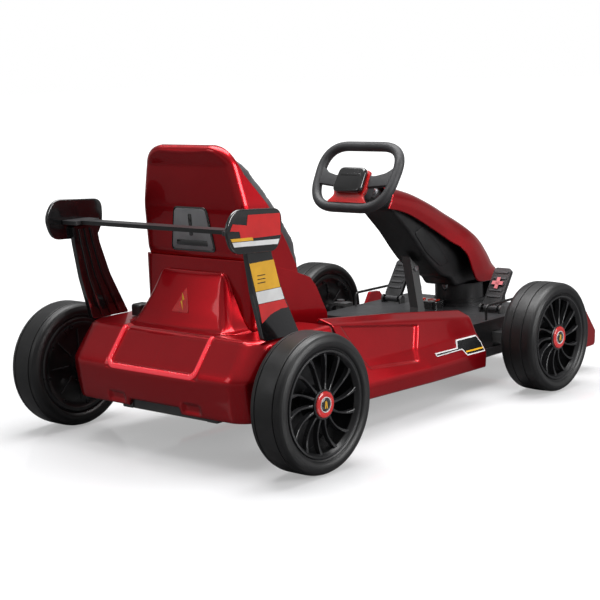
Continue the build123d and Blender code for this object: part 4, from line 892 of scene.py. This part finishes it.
def build_wheel(end, side_name):
    """Tyre, rim with bladed spokes and closed back, and hub cap of one wheel."""
    side = 1 if side_name == "left" else -1
    rear = end == "rear"
    x = 0.0 if rear else WHEELBASE
    y = 341.5 if rear else 336.0
    tyre_r, half, rim_r, groove = (133.0, 40.0, 102.0, 22.0) if rear else (123.0, 44.0, 95.0, 14.0)
    body = f"wheel_{end}_{side_name}"
    key = f"{end}_{side_name}"

    outer = [
        (half - 8.5, rim_r + 0.3), (half - 7, rim_r + 3.5), (half - 4.2, rim_r + 5), (half - 2.2, rim_r + 7.5),
        (half - 0.8, rim_r + 11), (half - 0.2, rim_r + 14.5), (half - 0.9, rim_r + 18), (half - 2.6, tyre_r - 8),
        (half - 5.4, tyre_r - 4.6), (half - 9.5, tyre_r - 2.2), (half - 14.5, tyre_r - 1.0),
        (groove + 1.8, tyre_r - 0.4), (groove + 1.3, tyre_r - 0.7), (groove + 1.0, tyre_r - 2.6),
        (groove - 1.0, tyre_r - 2.6), (groove - 1.3, tyre_r - 0.5), (groove - 1.8, tyre_r - 0.15), (0, tyre_r),
    ]
    profile = np.array(outer + [(-w, r) for w, r in outer[-2::-1]])
    fine = np.concatenate([profile[:1], resample(profile, 190)[1:-1], profile[-1:]])
    tyre = lathe(f"tyre_{key}_skin", fine, x, y, tyre_r, side)
    finish_piece(tyre, "tyre", body, [f"tyre_{key}"])

    lip = half - 8
    ring = [
        (-lip, rim_r), (lip, rim_r), (lip + 2.4, rim_r - 1.5), (lip + 3, rim_r - 4), (lip + 1.6, rim_r - 6),
        (lip - 2, rim_r - 7.5), (lip - 4.5, rim_r - 9.5), (lip - 6, rim_r - 10.5), (lip - 8,
            rim_r - 10.5), (lip - 9, rim_r - 6),
        (-lip + 8, rim_r - 6), (-lip + 12, rim_r - 20), (-lip + 13, 44), (-lip + 12, 21), (8, 20.5), (8, 6.2),
        (-90.0 if rear else -57.0, 6.2), (-90.0 if rear else -57.0, 20), (-lip + 2, 20), (-lip + 4, 24), (-lip + 6, 36),
        (-lip + 3, 44), (-lip + 5, 52), (-lip + 4, rim_r - 22), (-lip + 1, rim_r - 12), (-lip - 1.5, rim_r - 9),
        (-lip - 2, rim_r - 3),
    ]
    hub = [(8, 13), (lip - 1, 13), (lip - 0.4, 27), (lip - 1.6, 28.6), (lip - 6, 29), (8, 29), (2, 33),
        (0, 33), (0, 13)]
    pieces = [lathe("ring", ring, x, y, tyre_r, side), lathe("hub", hub, x, y, tyre_r, side, 96)]
    outer_r = rim_r - 6.2
    for k in range(SPOKES):
        base = 2 * math.pi * k / SPOKES
        grid = []
        for u in np.linspace(0, 1, 14):
            radius = 26 + (outer_r - 26) * u
            angle = base + 0.20 * u * u - 0.06
            width = 2.7 - 1.1 * math.sin(math.pi * u) + 1.2 * u**4
            front = lip - 3 - 5.0 * math.sin(math.pi * min(u * 1.1, 1)) * 0.8
            row = []
            for across, depth in ((-1, 0.6), (-0.6, 0), (0.6, 0), (1, 0.6), (0.9, 11), (-0.9, 11)):
                turn = angle + across * width / radius
                row.append((x + radius * math.cos(turn), side * (y + front - depth), tyre_r + radius * math.sin(turn)))
            grid.append(row)
        pieces.append(face_out(grid_piece("spoke", np.array(grid), wrap_columns=True)))
    for k in range(RIM_SCREWS):
        turn = 2 * math.pi * k / RIM_SCREWS + 0.2
        cx, cz = x + (rim_r - 17) * math.cos(turn), tyre_r + (rim_r - 17) * math.sin(turn)
        screw = [(-lip + 3, 0.01), (-lip + 3, 1.8), (-lip + 0.2, 2.4), (-lip + 0.2, 4.2), (-lip + 3, 4.4)]
        pieces.append(lathe("screw", screw, cx, y, cz, side, 16, closed=False))
    for k in range(BACK_RIBS):
        turn = 2 * math.pi * k / BACK_RIBS
        grid = []
        for radius, rise in ((24, 0), (40, 5), (rim_r - 26, 4), (rim_r - 24, 0)):
            row = []
            for across in (-1.6, -1.2, 1.2, 1.6):
                offset = across / radius
                depth = -lip + 6 - (rise if abs(across) < 1.5 else 0)
                row.append((x + radius * math.cos(turn + offset), side * (y + depth),
                    tyre_r + radius * math.sin(turn + offset)))
            grid.append(row)
        pieces.append(grid_piece("back_rib", np.array(grid), flip=side > 0))
    rim = join(f"rim_{key}_skin", pieces)
    finish_piece(rim, "rim_black", body, [f"rim_{key}"])
    rim.data.set_sharp_from_angle(angle=math.radians(35))

    dome = [(lip - 3, 0.01), (lip - 3, 24.6), (lip + 0.4, 24.8), (lip + 1.8, 23.6), (lip + 2.4, 21.5),
            (lip + 2.6, 16.2), (lip + 2.2, 15.6), (lip + 2.2, 15.2)]
    cap = lathe(f"cap_{key}_skin", dome + [(lip + 2.2, 0.01)], x, y, tyre_r, side, 96, closed=False)
    finish_piece(cap, "bright_red", body, [f"cap_{key}"])
    white = [(lip + 2.0, 12.9), (lip + 2.0, 14.7), (lip + 2.9, 14.6), (lip + 3.1, 14.2), (lip + 3.1, 13.3),
        (lip + 2.9, 13.0)]
    finish_piece(lathe(f"cap_{key}_band", white, x, y, tyre_r, side, 72), "white_mark", body)
    centre = [(lip + 2.0, 0.01), (lip + 2.0, 12.8), (lip + 2.7, 12.7), (lip + 3.1, 9), (lip + 3.2, 0.01)]
    finish_piece(lathe(f"cap_{key}_centre", centre, x, y, tyre_r, side, 72, closed=False), "gloss_black", body)
    for lean in (-2.6, 2.6):
        low, high = sorted((side * (y + lip + 3.0), side * (y + lip + 3.6)))
        bar = [(x - 1.5 + lean, tyre_r - 7), (x + 1.5 + lean, tyre_r - 7),
            (x + 1.5 + lean * 0.3, tyre_r + 7), (x - 1.5 + lean * 0.3, tyre_r + 7)]
        finish_piece(slab(f"cap_{key}_mark", bar, low, high, 0.2, 1), "yellow_mark", body, smooth=False)


for end in ("rear", "front"):
    for side_name in ("left", "right"):
        build_wheel(end, side_name)


# ---------------------------------------------------------------- steering wheel
ANGLE = math.radians(30.8)
COLUMN = np.array([math.cos(ANGLE), 0, -math.sin(ANGLE)])
WHEEL_UP = np.array([math.sin(ANGLE), 0, math.cos(ANGLE)])
WHEEL_LEFT = np.array([0, 1.0, 0])
WHEEL_CENTRE = np.array([WHEELBASE + 8, 0, 339.2]) - COLUMN * 294.5


def on_wheel(left, up, towards):
    """Point on the steering wheel: left, up, and towards the driver, in millimetres."""
    return WHEEL_CENTRE + WHEEL_LEFT * left + WHEEL_UP * up - COLUMN * towards


def build_rim_tube():
    """Rounded-square rim with a slightly flattened grip section."""
    corners = [(113.5, 79), (103, -73), (-103, -73), (-113.5, 79)]
    path = np.array(rounded(corners, 66, 18))
    path = resample(np.vstack([path, path[:1]]), 221)[:-1]
    ahead = np.roll(path, -1, axis=0) - np.roll(path, 1, axis=0)
    ahead /= np.linalg.norm(ahead, axis=1, keepdims=True)
    grid = []
    for spot, direction in zip(path, ahead):
        outward = np.array([direction[1], -direction[0]])
        row = []
        for turn in np.linspace(0, 2 * math.pi, 28, endpoint=False):
            across = 11.2 * math.cos(turn)
            towards = 11.4 * math.sin(turn)
            row.append(on_wheel(spot[0] + outward[0] * across, spot[1] + outward[1] * across, towards))
        grid.append(row)
    return face_out(grid_piece("rim_tube", np.array(grid), wrap_rows=True, wrap_columns=True))


def wheel_plate(name, outline, low, high, edge=2.0):
    """Plate in the steering wheel's plane between two distances towards the driver."""
    piece = prism(name, [on_wheel(a, b, low) for a, b in outline], [on_wheel(a, b, high) for a, b in outline])
    return round_edges(piece, edge, 3)


spokes = []
for side in (1, -1):
    spokes.append(wheel_plate("spoke",
        rounded([(side * 12, 6), (side * 56, 4), (side * 84, 12), (side * 112, 34), (side * 109, -16),
                                                (side * 70, -20), (side * 12, -26)], 6), -5, 6, 2.5))
spokes.append(wheel_plate("lower", rounded([(-22, -6), (22, -6), (36, -74), (-36, -74)], 4), -9, -1.5, 2))
spokes.append(wheel_plate("boss", rounded([(-34, 14), (34, 14), (32, -40), (-32, -40)], 14, 6), -34, 6, 3))
finish_piece(join("steering_rim", [build_rim_tube()] + spokes), "wheel_grip", "steering", ["steering_wheel"])
TRIM = [(-42, 14), (-46, -32), (-40, -46), (-56, -64), (56, -64), (40, -46), (46, -32), (42, 14), (34, 16), (-34, 16)]
finish_piece(wheel_plate("steering_trim", rounded(TRIM, 6), 1.5, 9, 2), "bright_red", "steering", ["wheel_trim"])
pad = [wheel_plate("pad", rounded([(-38, 18), (38, 18), (41, -42), (-41, -42)], 14, 6), 8, 22, 5)]
pad.append(wheel_plate("pad_face", rounded([(-27, 2), (27, 2), (28, -4), (-28, -4)], 2, 3), 21, 22.6, 0.5))
finish_piece(join("steering_pad", pad), "gloss_black", "steering", ["wheel_pad"])


# ---------------------------------------------------------------- badge
def rear_plate(name, outline, low, high, slot, edge=0.8):
    """Plate lying on the leaning rear face of the seat, its outline given as (left, height)."""
    def at(left, height, out):
        return (np.interp(height, [388, 478], [51, 45.3]) - out, left, height)

    piece = prism(name, [at(a, b, low) for a, b in outline], [at(a, b, high) for a, b in outline])
    piece = round_edges(piece, edge, 2)
    return finish_piece(piece, slot, "seat", ["seat_badge"] if slot == "grey_plastic" else ())


rear_plate("badge_border", rounded([(-63, 388), (63, 388), (46, 478), (-46, 478)], 12, 6), 0.2, 2.6, "gloss_black")
rear_plate("badge_plate", rounded([(-58, 392), (58, 392), (42.5, 474), (-42.5, 474)], 10, 6), 0.4, 3.8, "grey_plastic")
rear_plate("badge_slot", rounded([(-4.5, 420), (4.5, 420), (4.5, 464), (-4.5, 464)], 3, 4), 3.6, 4.6,
    "gloss_black", 0.3)
rear_plate("badge_band", rounded([(-44, 400), (44, 400), (42, 411), (-42, 411)], 2, 3), 3.6, 4.3, "gloss_black", 0.2)


# ---------------------------------------------------------------- finish of the carried-over nodes
slots = {s["node"]: s["material_slot"] for s in frame["record"]["subparts"]}
for name, node in nodes.items():
    node.data.materials.clear()
    node.data.materials.append(MATERIALS[slots[name]])

# ---------------------------------------------------------------- stage, light and camera
floor_mesh = bpy.data.meshes.new("floor")
floor_mesh.from_pydata([(-30, -30, 0), (30, -30, 0), (30, 30, 0), (-30, 30, 0)], [], [(0, 1, 2, 3)])
floor = bpy.data.objects.new("floor", floor_mesh)
bpy.context.scene.collection.objects.link(floor)
floor_material, floor_tree, floor_shader = new_material("floor", (0.55, 0.55, 0.56), 0.14)
vary_roughness(floor_tree, floor_shader, 2, 0.03, 0.06)
floor_shader.inputs["Emission Color"].default_value = (1, 1, 1, 1)
spot = floor_tree.nodes.new("ShaderNodeTexCoord")
reach = floor_tree.nodes.new("ShaderNodeVectorMath")
reach.operation = "LENGTH"
glow = map_range(floor_tree, 0.7, 3.0, 0.34, 1.0)
sight = floor_tree.nodes.new("ShaderNodeLightPath")
lit = floor_tree.nodes.new("ShaderNodeMath")
lit.operation = "MULTIPLY"
tone = floor_tree.nodes.new("ShaderNodeMix")
tone.data_type = "RGBA"
tone.inputs["A"].default_value = (0.14, 0.14, 0.145, 1)
tone.inputs["B"].default_value = (0.55, 0.55, 0.56, 1)
floor_tree.links.new(sight.outputs["Is Camera Ray"], tone.inputs["Factor"])
floor_tree.links.new(tone.outputs["Result"], floor_shader.inputs["Base Color"])
floor_tree.links.new(spot.outputs["Object"], reach.inputs[0])
floor_tree.links.new(reach.outputs["Value"], glow.inputs["Value"])
floor_tree.links.new(glow.outputs["Result"], lit.inputs[0])
floor_tree.links.new(sight.outputs["Is Camera Ray"], lit.inputs[1])
floor_tree.links.new(lit.outputs["Value"], floor_shader.inputs["Emission Strength"])
floor.data.materials.append(floor_material)

bpy.context.scene.view_settings.view_transform = "Standard"
world = bpy.data.worlds.new("studio")
bpy.context.scene.world = world
world.use_nodes = True
sky = world.node_tree
backdrop = sky.nodes["Background"]
backdrop.inputs["Color"].default_value = (1, 1, 1, 1)
backdrop.inputs["Strength"].default_value = 1.0
dome = sky.nodes.new("ShaderNodeBackground")
where = sky.nodes.new("ShaderNodeTexCoord")
split = sky.nodes.new("ShaderNodeSeparateXYZ")
fade = map_range(sky, 0.15, 0.9, 0.06, 0.6)
low_band = map_range(sky, 0.14, 0.30, 0.42, 0.0)
low_band.interpolation_type = "SMOOTHSTEP"
total = sky.nodes.new("ShaderNodeMath")
total.operation = "ADD"
seen = sky.nodes.new("ShaderNodeLightPath")
choose = sky.nodes.new("ShaderNodeMixShader")
sky.links.new(where.outputs["Generated"], split.inputs["Vector"])
sky.links.new(split.outputs["Z"], fade.inputs["Value"])
sky.links.new(split.outputs["Z"], low_band.inputs["Value"])
sky.links.new(fade.outputs["Result"], total.inputs[0])
sky.links.new(low_band.outputs["Result"], total.inputs[1])
sky.links.new(total.outputs["Value"], dome.inputs["Strength"])
sky.links.new(seen.outputs["Is Camera Ray"], choose.inputs["Fac"])
sky.links.new(dome.outputs["Background"], choose.inputs[1])
sky.links.new(backdrop.outputs["Background"], choose.inputs[2])
sky.links.new(choose.outputs["Shader"], sky.nodes["World Output"].inputs["Surface"])


def softbox(name, place, target, width, height, power):
    """Rectangular studio light aimed at a point."""
    light = bpy.data.lights.new(name, "AREA")
    light.shape = "RECTANGLE"
    light.size = width
    light.size_y = height
    light.energy = power
    lamp = bpy.data.objects.new(name, light)
    lamp.location = place
    lamp.rotation_euler = (Vector(target) - Vector(place)).to_track_quat("-Z", "Y").to_euler()
    bpy.context.scene.collection.objects.link(lamp)


softbox("top", (0.2, 0.2, 3.0), (0, 0, 0), 3.0, 2.2, 150)
softbox("flank", (0.6, -3.4, 1.5), (0, 0, 0.2), 2.2, 1.2, 95)
softbox("tail", (-3.0, 1.8, 1.9), (-0.3, 0, 0.3), 0.9, 1.2, 9)

YAW, PITCH, ROLL = math.radians(41.57), math.radians(9.32), math.radians(-2.08)
ahead = Vector((math.cos(PITCH) * math.cos(YAW), math.cos(PITCH) * math.sin(YAW), -math.sin(PITCH)))
right = Vector((math.sin(YAW), -math.cos(YAW), 0))
up = right.cross(ahead)
view_right = math.cos(ROLL) * right + math.sin(ROLL) * up
view_up = -math.sin(ROLL) * right + math.cos(ROLL) * up
camera_data = bpy.data.cameras.new("camera")
camera_data.lens = 88.85
camera_data.sensor_width = 36
camera = bpy.data.objects.new("camera", camera_data)
turn = Matrix((view_right, view_up, -ahead)).transposed().to_4x4()
camera.matrix_world = Matrix.Translation((-2.4708, -2.0986, 0.7625)) @ turn
bpy.context.scene.collection.objects.link(camera)
bpy.context.scene.camera = camera
